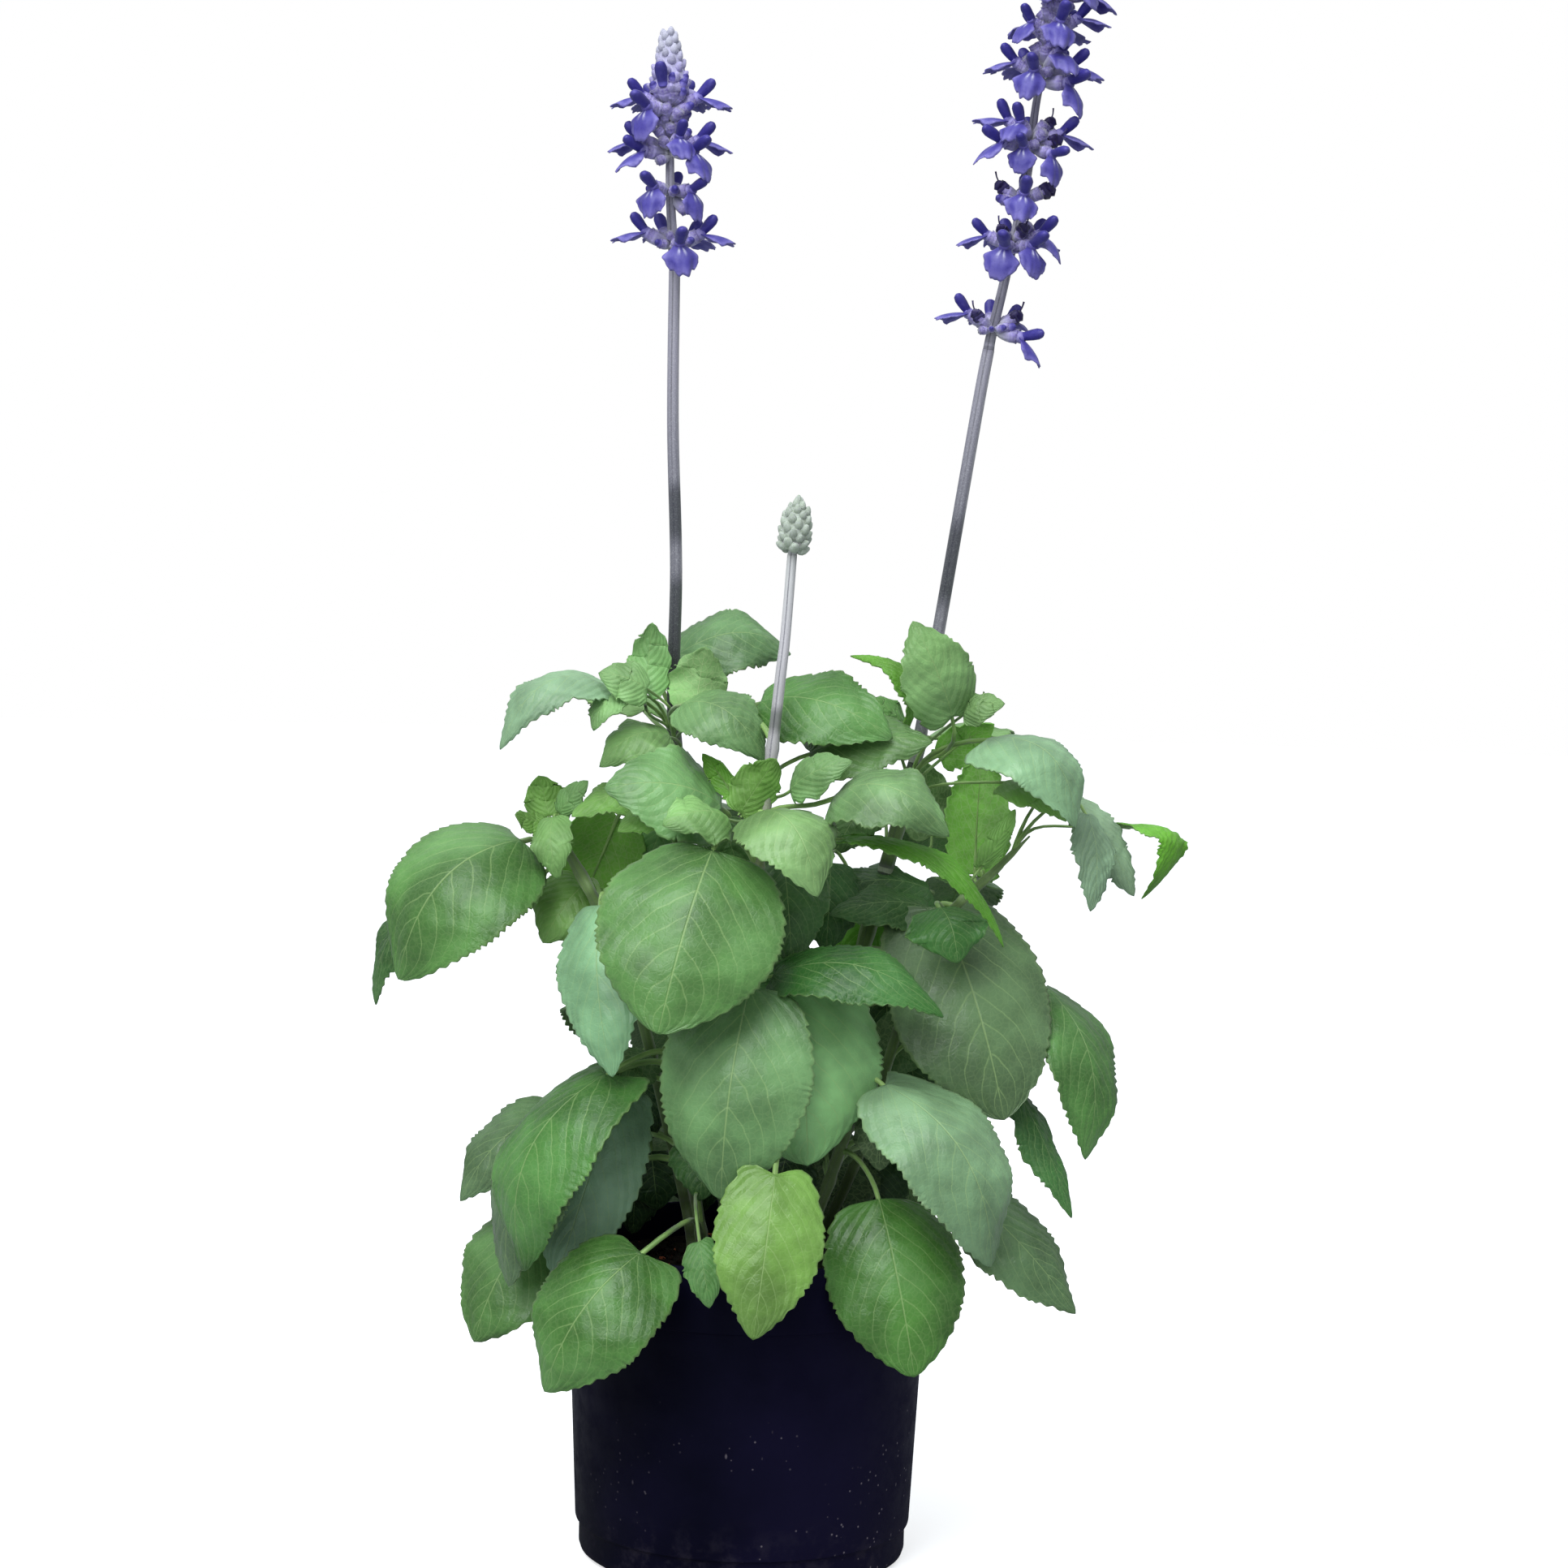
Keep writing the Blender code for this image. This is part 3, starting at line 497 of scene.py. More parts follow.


# Each leaf: height of its node on the stem, base of the blade, tip, width, rise of the arch, then
# the way its upper face looks: turn (0 front, 90 right), tilt (90 straight up), and its tone.
# The last rows of some stems are small leaves that fill the inside of the plant, painted dark as
# the shade deep inside it.
stems = {
    "left_flowering_stem": {
        "foot": (-8, 4), "radii": (2.5, 1.9), "finish": "green",
        "path": [(-12, 6, 160), (-22, 6, 230), (-30.8, 2, 294), (-31.4, 0, 353), (-33.7, 0, 405),
                 (-34.3, 0, 458)],
        "leaves": [
            (290, (-55, -12, 312), (-90, -32, 289), 26, 14, -25, 50, "silver"),
            (292, (-41, -12, 310), (-39, -10, 334), 17, -2, 0, 8, "pale"),
            (289, (-40, -20, 311), (-57, -22, 316), 18, 3, -14, 32, "pale"),
            (287, (-49, -17, 309), (-58, -26, 296), 15, 4, -29, 45, "pale"),
            (296, (-31, 14, 322), (10, 26, 323), 32, 12, 0, 42, "soft"),
            (290, (-23, -12, 305), (-20, -8, 326), 23, -2, 8, 18, "pale"),
            (286, (-27, -18, 306), (2, -31, 287), 30, 11, 10, 42, "soft"),
            (281, (-32, -10, 294), (-56, -20, 283), 25, 8, -13, 42, "pale"),
            (262, (-13, -29, 271), (-53, -44, 277), 41, 9, -9, 35, "soft"),
            (258, (-35, -15, 275), (-65, -28, 266), 24, 4, -20, 55, "fresh"),
            (250, (-27, -26, 271), (-48, -42, 262), 22, 3, -15, 45, "fresh"),
            (242, (-51, 12, 263), (-68, 16, 219), 34, 4, 172, 22, "lit"),
            (288, (-42, 15, 302), (-62, 56, 300), 30, 7, 200, 55, "pale"),
            (262, (-24, 22, 268), (-14, 72, 250), 40, 8, 170, 50, "mid"),
            (228, (-36, 24, 232), (-58, 82, 196), 48, 9, 195, 35, "mid"),
            (245, (-31, 15, 267), (-40, 14, 244), 22, 3, -10, 25, "mid"),
            (240, (-13, 14, 262), (-6, 12, 239), 22, 3, 10, 25, "mid"),
        ],
    },
    "centre_budding_stem": {
        "foot": (4, -10), "radii": (2.4, 1.6), "finish": "pale",
        "path": [(4, -20, 160), (1, -34, 225), (0.7, -38, 256), (4.1, -38, 288), (6.8, -39, 318),
                 (8.1, -39, 332), (9.7, -40, 359)],
        "leaves": [
            (270, (-6, -42, 270), (6, -48, 289), 18, -2, 11, 10, "fresh"),
            (266, (-10, -47, 268), (-32, -60, 266), 25, 5, -15, 42, "pale"),
            (264, (2, -47, 271), (21, -70, 244), 37, 12, 16, 38, "pale"),
            (272, (11, -42, 278), (32, -52, 289), 18, 4, 8, 35, "pale"),
            (266, (26, -48, 276.5), (65, -64, 265), 34, 13.5, 5, 48, "soft"),
            (292, (0, -14, 307), (46, -34, 296), 37, 10, 5, 38, "rich"),
            (274, (18, -20, 290), (60, -30, 295), 33, 5, 0, 46, "mid"),
            (268, (-9, -28, 275), (-20, -27, 289), 10, 2, 170, 10, "lit"),
            (250, (-15, -58, 258), (-31, -90, 199), 66, 10, 0, 30, "cool"),
            (256, (31, -46, 262), (85, -56, 227), 14, 14.5, 18, 64, "lit"),
            (250, (9, -26, 255), (13, -38, 217), 32, 4, 5, 15, "deep"),
            (208, (7, -50, 215), (65, -60, 203), 30, 14, 5, 52, "glossy"),
            (208, (11, -46, 213), (20, -60, 151), 64, 9, 10, 28, "paintedSheen"),
            (205, (-1, -60, 212), (-9, -74, 141), 55, 11, -10, 17, "soft"),
            (172, (20, -37, 186), (20, -47, 148), 28, 4, 5, 18, "dark"),
            (165, (9, -80, 151), (3, -98, 99), 39, 6, 2, 13, "fresh"),
        ],
    },
    "right_flowering_stem": {
        "foot": (14, 4), "radii": (2.7, 2.0), "finish": "green",
        "path": [(24, 6, 165), (40, 5, 224), (46.2, 5, 248), (55.4, 4, 286), (63.4, 2, 339),
                 (74.2, 0, 413), (77.4, 0, 433)],
        "leaves": [
            (276, (67, -24, 304), (52, -30, 337), 29, 5, 4, 17, "pale"),
            (276, (52, -8, 298), (31, -16, 324), 16, 15, 40, 36, "lit"),
            (280, (52, 14, 298), (37, 8, 308), 14, 3, 0, 40, "mid"),
            (276, (71, -22, 305), (85, -28, 309), 14, 3, 0, 30, "pale"),
            (270, (80, -22, 296.5), (110, -36, 267), 37, 14.5, 34, 42, "silver"),
            (266, (87, -12, 281), (108, -22, 268), 22, 5, 20, 60, "fresh"),
            (236, (62, 8, 240), (27, -2, 240), 26, 5, 0, 50, "deep"),
            (230, (61, -8, 235), (26, -22, 233), 22, 5, 0, 45, "deep"),
            (292, (68, 22, 296), (92, 58, 288), 30, 7, 150, 52, "pale"),
            (266, (66, 26, 266), (74, 80, 240), 40, 8, 170, 42, "mid"),
            (214, (48, 24, 216), (66, 84, 178), 46, 9, 165, 35, "mid"),
            (262, (65, 12, 287), (84, 12, 300), 17, 3, 176, 18, "lit"),
            (190, (58, 4, 194), (47, 0, 172), 24, 4, 5, 20, "deep"),
            (225, (26, -6, 250), (25, -14, 219), 26, 4, 4, 18, "deep"),
            (250, (63, 22, 258), (60, 26, 285), 24, 4, 180, 20, "mid"),
            (250, (39, 16, 270), (28, 12, 252), 22, 3, -10, 30, "mid"),
            (236, (40, 22, 240), (35, 16, 208), 26, 3, 0, 20, "lit"),
            (205, (47, 16, 211), (49, 16, 178), 28, 4, 0, 15, "deep"),
            (180, (55, 14, 187), (61, 10, 156), 28, 4, 0, 15, "deep"),
        ],
    },
    "left_side_shoot": {
        "foot": (-20, -4), "radii": (2.2, 1.7), "finish": "green",
        "path": [(-28, -12, 150), (-44, -18, 210), (-58, -18, 238), (-72, -15, 261)],
        "leaves": [
            (259, (-74, -12, 265), (-78, -12, 279), 16, -2, -5, 15, "fresh"),
            (259, (-70, -15, 266), (-60, -18, 278), 11, 2, 4, 33, "pale"),
            (255, (-72, -20, 265), (-69, -28, 244), 17, 5, -21, 31, "pale"),
            (257, (-75, -17, 263), (-85, -24, 266), 11, -1, -15, 35, "fresh"),
            (230, (-54, -38, 236), (-47, -62, 180), 35, 8, -22, 27, "paintedHighlight"),
            (244, (-84, -12, 256), (-124, -32, 208), 58, 19, -20, 34, "mid"),
            (246, (-104, 4, 238), (-135, -4, 195), 26, 13, -50, 24, "deep"),
            (232, (-61, -9, 241), (-75, -15, 220), 30, 4, -10, 20, "fresh"),
            (253, (-84, 14, 240), (-112, 54, 212), 40, 8, 225, 45, "mid"),
            (200, (-46, 12, 204), (-60, 64, 172), 40, 9, 205, 35, "mid"),
        ],
    },
    "right_side_shoot": {
        "foot": (26, -4), "radii": (2.2, 1.0), "finish": "green",
        "path": [(40, -8, 150), (58, -14, 215), (70, -18, 236), (82, -18, 248), (96, -14, 262)],
        "leaves": [
            (244, (77, -12, 248), (80, 8, 292), 26, 3, 184, 15, "lit"),
            (236, (65, -16, 236), (88, -40, 165), 60, 8, 12, 20, "grey"),
            (256, (116, -14, 270), (117, -26, 237), 18, 5, 30, 14, "silver"),
            (256, (113, -5, 273), (134, -8, 241), 18, 5, 15, 17, "silver"),
            (256, (129, 5, 265), (137, -6, 240), 20, 21, 52, 16, "lit"),
            (205, (104, -4, 207), (118, -24, 149), 36, 14, 38, 17, "mid"),
            (180, (92, -20, 175), (113, -34, 130), 21, 2, 50, 15, "deep"),
            (146, (37, -14, 152), (12, -24, 148), 20, 3, 0, 45, "dark"),
            (246, (78, 12, 244), (70, 66, 220), 30, 8, 175, 42, "mid"),
            (200, (66, 8, 204), (100, 58, 166), 44, 9, 145, 35, "mid"),
            (240, (79, -24, 252), (90, -22, 272), 9, 2, 20, 10, "fresh"),
            (232, (64, -36, 238), (70, -46, 220), 32, 6, 5, 42, "deep"),
        ],
    },
    "low_left_shoot": {
        "foot": (-16, -18), "radii": (2.0, 1.7), "finish": "green",
        "path": [(-20, -26, 140), (-25, -31, 175), (-28, -32, 198)],
        "leaves": [
            (180, (-50, -50, 179), (-76, -60, 112), 47, 18.5, -46, 26, "rich"),
            (176, (-57, -38, 171), (-82, -48, 104), 44, 14, -45, 28, "grey"),
            (176, (-70, -10, 160), (-102, -20, 128), 31, 9, -30, 28, "grey"),
            (140, (-71, -18, 124), (-95, -34, 81), 46, 8, -24, 24, "mid"),
            (170, (-47, -31, 167), (-66, -46, 105), 38, 6, -1, 20, "shade"),
            (110, (-36, -68, 121), (-67, -78, 75), 48, 12, -24, 17, "rich"),
            (190, (-36, -24, 182), (-56, -34, 170), 22, 4, -10, 40, "deep"),
            (118, (-16, -72, 126), (-12, -79, 105), 15, 3, 0, 15, "mid"),
            (140, (-52, 4, 150), (-90, 46, 118), 38, 7, 235, 30, "mid"),
            (150, (-16, -34, 155), (-17, -40, 134), 25, 4, 5, 18, "deep"),
            (150, (-40, 6, 173), (-36, 0, 148), 24, 4, 0, 18, "dark"),
            (135, (-36, 10, 142), (-33, 4, 122), 30, 4, 0, 18, "dark"),
            (135, (-20, 22, 142), (-18, 18, 118), 26, 4, 0, 15, "dark"),
            (135, (-41, 10, 137), (-42, 8, 112), 22, 3, 0, 12, "dark"),
        ],
    },
    "low_right_shoot": {
        "foot": (20, -22), "radii": (2.0, 1.7), "finish": "green",
        "path": [(28, -31, 140), (37, -40, 172), (40, -42, 188)],
        "leaves": [
            (150, (76, -30, 137), (115, -38, 97), 34, 4, 30, 26, "grey"),
            (180, (46, -52, 178), (83, -67, 119), 48, 18, 33, 28, "ash"),
            (150, (45, -50, 138), (58, -70, 81), 50, 7, 6, 13, "rich"),
            (170, (45, -40, 168), (45, -45, 147), 20, 3, 0, 15, "dark"),
            (140, (58, -2, 148), (94, 36, 114), 38, 7, 125, 30, "mid"),
            (160, (51, -26, 167), (44, -32, 146), 22, 4, 0, 18, "deep"),
            (140, (13, 2, 144), (8, -6, 121), 30, 4, 0, 18, "dark"),
            (140, (30, 2, 141), (35, -4, 119), 32, 4, 0, 18, "dark"),
            (140, (22, 8, 153), (24, 4, 127), 24, 3, 0, 12, "dark"),
            (140, (45, 10, 141), (48, 6, 115), 24, 3, 0, 12, "dark"),
        ],
    },
    "rear_shoot": {
        "foot": (2, 24), "radii": (2.2, 1.7), "finish": "green",
        "path": [(2, 30, 135), (0, 38, 180), (0, 40, 220)],
        "leaves": [
            (200, (-14, 50, 200), (-38, 104, 158), 50, 9, 200, 32, "mid"),
            (200, (18, 50, 194), (42, 104, 152), 48, 9, 160, 32, "mid"),
            (166, (2, 58, 160), (4, 112, 122), 44, 8, 180, 30, "mid"),
            (150, (-32, 50, 146), (-66, 86, 106), 40, 8, 215, 28, "mid"),
            (150, (36, 50, 142), (68, 84, 102), 40, 8, 145, 28, "mid"),
            (128, (-14, 72, 124), (-22, 94, 78), 34, 6, 190, 18, "deep"),
            (216, (-6, 40, 226), (-20, 60, 236), 18, 3, 200, 50, "fresh"),
            (216, (8, 40, 226), (24, 58, 234), 16, 3, 160, 50, "fresh"),
            (190, (4, 22, 227), (12, 14, 196), 26, 3, 0, 15, "deep"),
        ],
    },
}


def leafFrame(base, tip, rise, turn, tilt):
    turn, tilt = math.radians(turn), math.radians(tilt)
    face = Vector((math.sin(turn) * math.cos(tilt), -math.cos(turn) * math.cos(tilt),
                   math.sin(tilt)))
    chord = (tip - base).normalized()
    face = (face - chord * face.dot(chord)).normalized()
    return face, chord.cross(face), (base + tip) / 2 + 2 * rise * face


def midrib(base, control, tip, t):
    place = (1 - t) ** 2 * base + 2 * t * (1 - t) * control + t ** 2 * tip
    return place, ((1 - t) * (control - base) + t * (tip - control)).normalized()


def facing(across, along, face):
    normal = across.cross(along)
    return -normal if normal.dot(face) < 0 else normal


def growLeaf(base, tip, width, rise, turn, tilt, tone, draw):
    # a grid laid over the arched midrib: toothed margin, quilting between the side veins
    v = leafShape
    face, across, control = leafFrame(base, tip, rise, turn, tilt)
    length = ((control - base).length * 0.5 + (tip - control).length * 0.5
              + (tip - base).length * 0.5)
    teeth = max(round(length / (v["toothLength"] * mm)), 5)
    bm = bmesh.new()
    spot = bm.verts.layers.float_vector.new("leafPlace")
    shade = bm.verts.layers.float_color.new("leafTone")
    bmesh.ops.create_grid(bm, x_segments=v["columns"], y_segments=teeth * v["rowsPerTooth"], size=1)
    fold = math.radians(v["fold"])
    young = 1 - softStep((width / mm - v["youngWidth"]) / 20)
    depth = v["toothDepth"] * mm * blendTo(1.0, 1.25, young)
    # what is drawn for this leaf: teeth, waves, lean, twist, droop, colour, uneven spacing, lobes
    toothSize = {(side, i): draw.uniform(0.35, 1.45) for side in (-1, 1) for i in range(teeth + 1)}
    waves = {side: (draw.uniform(1.6, 2.8), draw.uniform(0, math.tau), draw.uniform(0.5, 1.0))
             for side in (-1, 1)}
    lopsided = draw.uniform(-0.04, 0.04)
    twist = math.radians(v["twist"]) * draw.uniform(-1, 1)
    droop = draw.uniform(0.4, 1.6) * v["edgeDroop"]
    colour = [channel * draw.uniform(0.94, 1.06) for channel in leafTones[tone]]
    stretches, stretchStart = draw.uniform(2.2, 3.6), draw.uniform(0, math.tau)
    lobes = {side: draw.uniform(0.5, 1.4) for side in (-1, 1)}
    for vert in bm.verts:
        # s runs from 0 on the midrib to 1 on the margin, t from 0 at the base to 1 at the tip
        a, t = vert.co.x, (vert.co.y + 1) / 2
        side = -1 if a < 0 else 1
        s = 1 - (1 - abs(a)) ** 1.6
        step = t * teeth
        uneven = math.sin(math.tau * stretches * t + stretchStart + side)
        t += 0.45 / teeth * t * (1 - t) * 4 * uneven
        half = halfWidth(t, width)
        half *= 1 + side * lopsided
        inTooth = step - math.floor(step)
        bite = 1 - softStep(inTooth / 0.75) if inTooth < 0.75 else softStep((inTooth - 0.75) / 0.25)
        bite *= depth * toothSize[side, min(int(step + 0.25), teeth)] * min(1, half / (5 * mm))
        reach = s * (half - bite * s ** 6)
        place, along = midrib(base, control, tip, min(max(t, 1e-4), 1 - 1e-4))
        if t <= 0 or t >= 1:
            place = base if t <= 0 else tip
        normal = facing(across, along, face)
        back = t / 0.08 * math.exp(1 - t / 0.08) * s * s
        place = place - along * v["baseLobe"] * lobes[side] * length * back
        turned = Matrix.Rotation(twist * (t - 0.3), 3, along)
        outward, normal = turned @ across, turned @ normal
        room = min(1, half / (10 * mm))
        drop = math.sin(fold) * (math.hypot(reach, 1.2 * mm) - 1.2 * mm) + droop * half * s ** 4
        count, start, size = waves[side]
        lift = v["wave"] * mm * size * room * s ** 2.2 * math.sin(math.tau * count * t + start)
        lean = leafFinish["veinLean"] * s + leafFinish["veinCurve"] * s * s
        phase = (t - lean) * leafFinish["veins"]
        swell = -0.5 * math.cos(math.tau * phase) * min(1, s * 5) * (1 - s ** 3)
        lift += v["quilting"] * mm * room * swell * (1 + 0.8 * young)
        bumps = noise.noise(Vector((side * s * 1.6 + stretchStart, t * 3.2, 0)))
        lift += v["swelling"] * mm * room * softStep(s * 1.8) * bumps
        vert.co = place + outward * side * reach * math.cos(fold) + normal * (lift - drop)
        vert[spot] = (0.5 + 0.5 * side * s, t, 0)
        vert[shade] = (*colour, young)
    bm.normal_update()
    bm.faces.ensure_lookup_table()
    middle = bm.faces[len(bm.faces) // 2 + v["columns"] // 2]
    if middle.normal.dot(face) < 0:
        bmesh.ops.reverse_faces(bm, faces=bm.faces[:])
    bmesh.ops.remove_doubles(bm, verts=bm.verts[:], dist=mergeGap)
    return bm, (face, across, control)


stalkShape = {
    "thickness": 0.023,  # half of it, as a share of the blade's width
    "thinnest": 0.52,
    "thickest": 1.0,
    "steps": 9,          # to the blade, and as many under it
    "sides": 8,
}


def growStalk(start, base, control, tip, across, face, width):
    # from the stem to the blade, then on under the midrib
    v = stalkShape
    into = (control - base).normalized()
    reach = (base - start).length
    leave = start + Vector((0, 0, 0.3 * reach)) + (base - start) * 0.15
    arrive = base - into * 0.6 * reach
    thick = min(max(width * v["thickness"], v["thinnest"] * mm), v["thickest"] * mm)
    path, radii = [], []
    for i in range(v["steps"]):
        t = i / v["steps"]
        path.append((1 - t) ** 3 * start + 3 * t * (1 - t) ** 2 * leave
                    + 3 * t * t * (1 - t) * arrive + t ** 3 * base)
        radii.append(thick * blendTo(1.45, 1.0, softStep(t * 2.2)))
    for i in range(v["steps"]):
        t = 0.9 * i / (v["steps"] - 1)
        place, along = midrib(base, control, tip, max(t, 1e-3))
        radius = thick * (1 - 0.85 * (t / 0.9) ** 0.7)
        path.append(place - facing(across, along, face) * radius * 0.75)
        radii.append(radius)
    return growTube(path, radii, v["sides"], ribs=2, flute=0.12)


stemShape = {
    "foot": 86,       # where a stem starts, in its hole in the soil
    "straightTo": 112,
    "thicker": 1.06,  # than the radii of its row
    "nodeSwelling": 0.5,
    "nodeLength": 3,
    "tipSteps": 7,    # over so many rings a leafy shoot gets thin
    "tipShare": 0.35,
    "flute": 0.10,
    "sides": 16,
    "seed": 3,
}


def growStem(stemName, plan):
    v = stemShape
    foot = Vector((*plan["foot"], 0)) * mm
    points = [foot + Vector((0, 0, v["foot"] * mm)), foot + Vector((0, 0, v["straightTo"] * mm))]
    points += [Vector(point) * mm for point in plan["path"]]
    path = smoothPath(points, 8)
    first, last = plan["radii"]
    nodes = [row[0] * mm for row in plan["leaves"]]
    radii = []
    for i, place in enumerate(path):
        swelling = max(math.exp(-((place.z - height) / (v["nodeLength"] * mm)) ** 2)
                       for height in nodes)
        radius = (blendTo(first, last, i / (len(path) - 1)) * v["thicker"]
                  + v["nodeSwelling"] * swelling) * mm
        if stemName.endswith("shoot"):
            fromTip = (i - len(path) + v["tipSteps"] + 1) / v["tipSteps"]
            radius *= blendTo(1.0, v["tipShare"], softStep(fromTip))
        radii.append(radius)
    return path, growTube(path, radii, v["sides"], ribs=4, flute=v["flute"], turn=0.5)


draw = random.Random(stemShape["seed"])
for stemName, plan in stems.items():
    path, stalks = growStem(stemName, plan)
    blades = bmesh.new()
    blades.verts.layers.float_vector.new("leafPlace")
    blades.verts.layers.float_color.new("leafTone")
    small = newTubeMesh()
    for height, base, tip, width, rise, turn, tilt, tone in plan["leaves"]:
        base, tip = Vector(base) * mm, Vector(tip) * mm
        blade, (face, across, control) = growLeaf(base, tip, width * mm, rise * mm, turn, tilt,
                                                  tone, draw)
        addInto(blades, blade)
        addInto(small, growStalk(onPath(path, height * mm)[0], base, control, tip, across, face,
                                 width * mm))
    addInto(stalks, useMaterial(small, 1))
    woody = stemPale if plan["finish"] == "pale" else stemGreen
    stalkPiece = addObject(stemName + "_stalks", stalks, [woody, leafStalk])
    bladePiece = addObject(stemName + "_leaves", blades, [leafUpper, leafLower])
    skin = bladePiece.modifiers.new("Blade thickness", "SOLIDIFY")
    skin.thickness = leafShape["thickness"] * mm
    skin.offset = 0
    skin.material_offset = 1
    for piece in (stalkPiece, bladePiece):
        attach(piece, "root")
        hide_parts(stemName)
print("stems and leaves grown")

# Florets, in millimetres before their size: x runs out of the spike and z up along it.
floretShape = {
    "calyxPath": ((0, 0, 0), (1.5, 0, 0.05), (3.2, 0, 0.2), (5.0, 0, 0.4), (6.6, 0, 0.6),
                  (7.8, 0, 0.75), (8.8, 0, 0.9)),
    "calyxRadii": (0.8, 1.45, 2.05, 2.4, 2.5, 2.35, 2.55),
    "tubePath": ((6.5, 0, 0.5), (8.5, 0, 0.8), (10.2, 0, 1.0), (11.4, 0, 1.4)),
    "tubeRadii": (1.6, 2.05, 2.2, 1.8),
    "hoodPath": ((9.2, 0, 0.9), (10.4, 0, 1.5), (11.9, 0, 2.3), (13.6, 0, 3.3), (15.3, 0, 4.3),
                 (16.7, 0, 5.1), (17.3, 0, 5.4)),
    "hoodRadii": (1.3, 1.5, 1.7, 1.95, 2.0, 1.45, 0.2),
    "budPath": ((7.0, 0, 0.6), (8.8, 0, 0.9), (10.0, 0, 1.3), (11.0, 0, 1.8), (11.7, 0, 2.2)),
    "budRadii": (1.5, 1.95, 2.0, 1.6, 0.3),
    "remnantPath": ((7.2, 0, 0.6), (8.8, 0, 1.0), (10.2, 0, 2.0), (11.4, 0, 1.6), (12.6, 0, 3.0)),
    "remnantRadii": (2.0, 2.9, 2.2, 2.6, 0.7),
    "stylePath": ((9.5, 0, 1.4), (12.0, 0, 2.4), (14.0, 0, 3.8), (15.6, 0, 5.8)),
    "styleRadii": (0.4, 0.35, 0.35, 0.45),
    "lipStart": 9.6,
    "lipLength": 12.6,
    "lipHalf": 7.0,
    "lipDroop": {"open": 32, "drooping": 54},
    "petal": 0.3,
    "lipsDrawn": 3,  # so many different ones of each kind that has a lip
    "seed": 12,
}

petalTones = {
    "calyxLow": (0.64, 0.66, 0.60),
    "calyxMid": (0.60, 0.58, 0.72),
    "calyxHigh": (0.42, 0.36, 0.74),
    "calyxRim": (0.13, 0.09, 0.36),
    "tube": (0.34, 0.30, 0.64),
    "hoodLow": (0.10, 0.08, 0.38),
    "hood": (0.042, 0.033, 0.280),
    "hoodTip": (0.036, 0.026, 0.250),
    "lip": (0.058, 0.046, 0.305),
    "lipEdge": (0.185, 0.160, 0.480),
    "lipThroat": (0.042, 0.032, 0.250),
    "mark": (0.80, 0.80, 0.95),
    "withered": (0.020, 0.011, 0.075),
    "budTop": (0.43, 0.43, 0.53),
    "budLow": (0.32, 0.28, 0.55),
    "budGrey": (0.37, 0.43, 0.34),
}

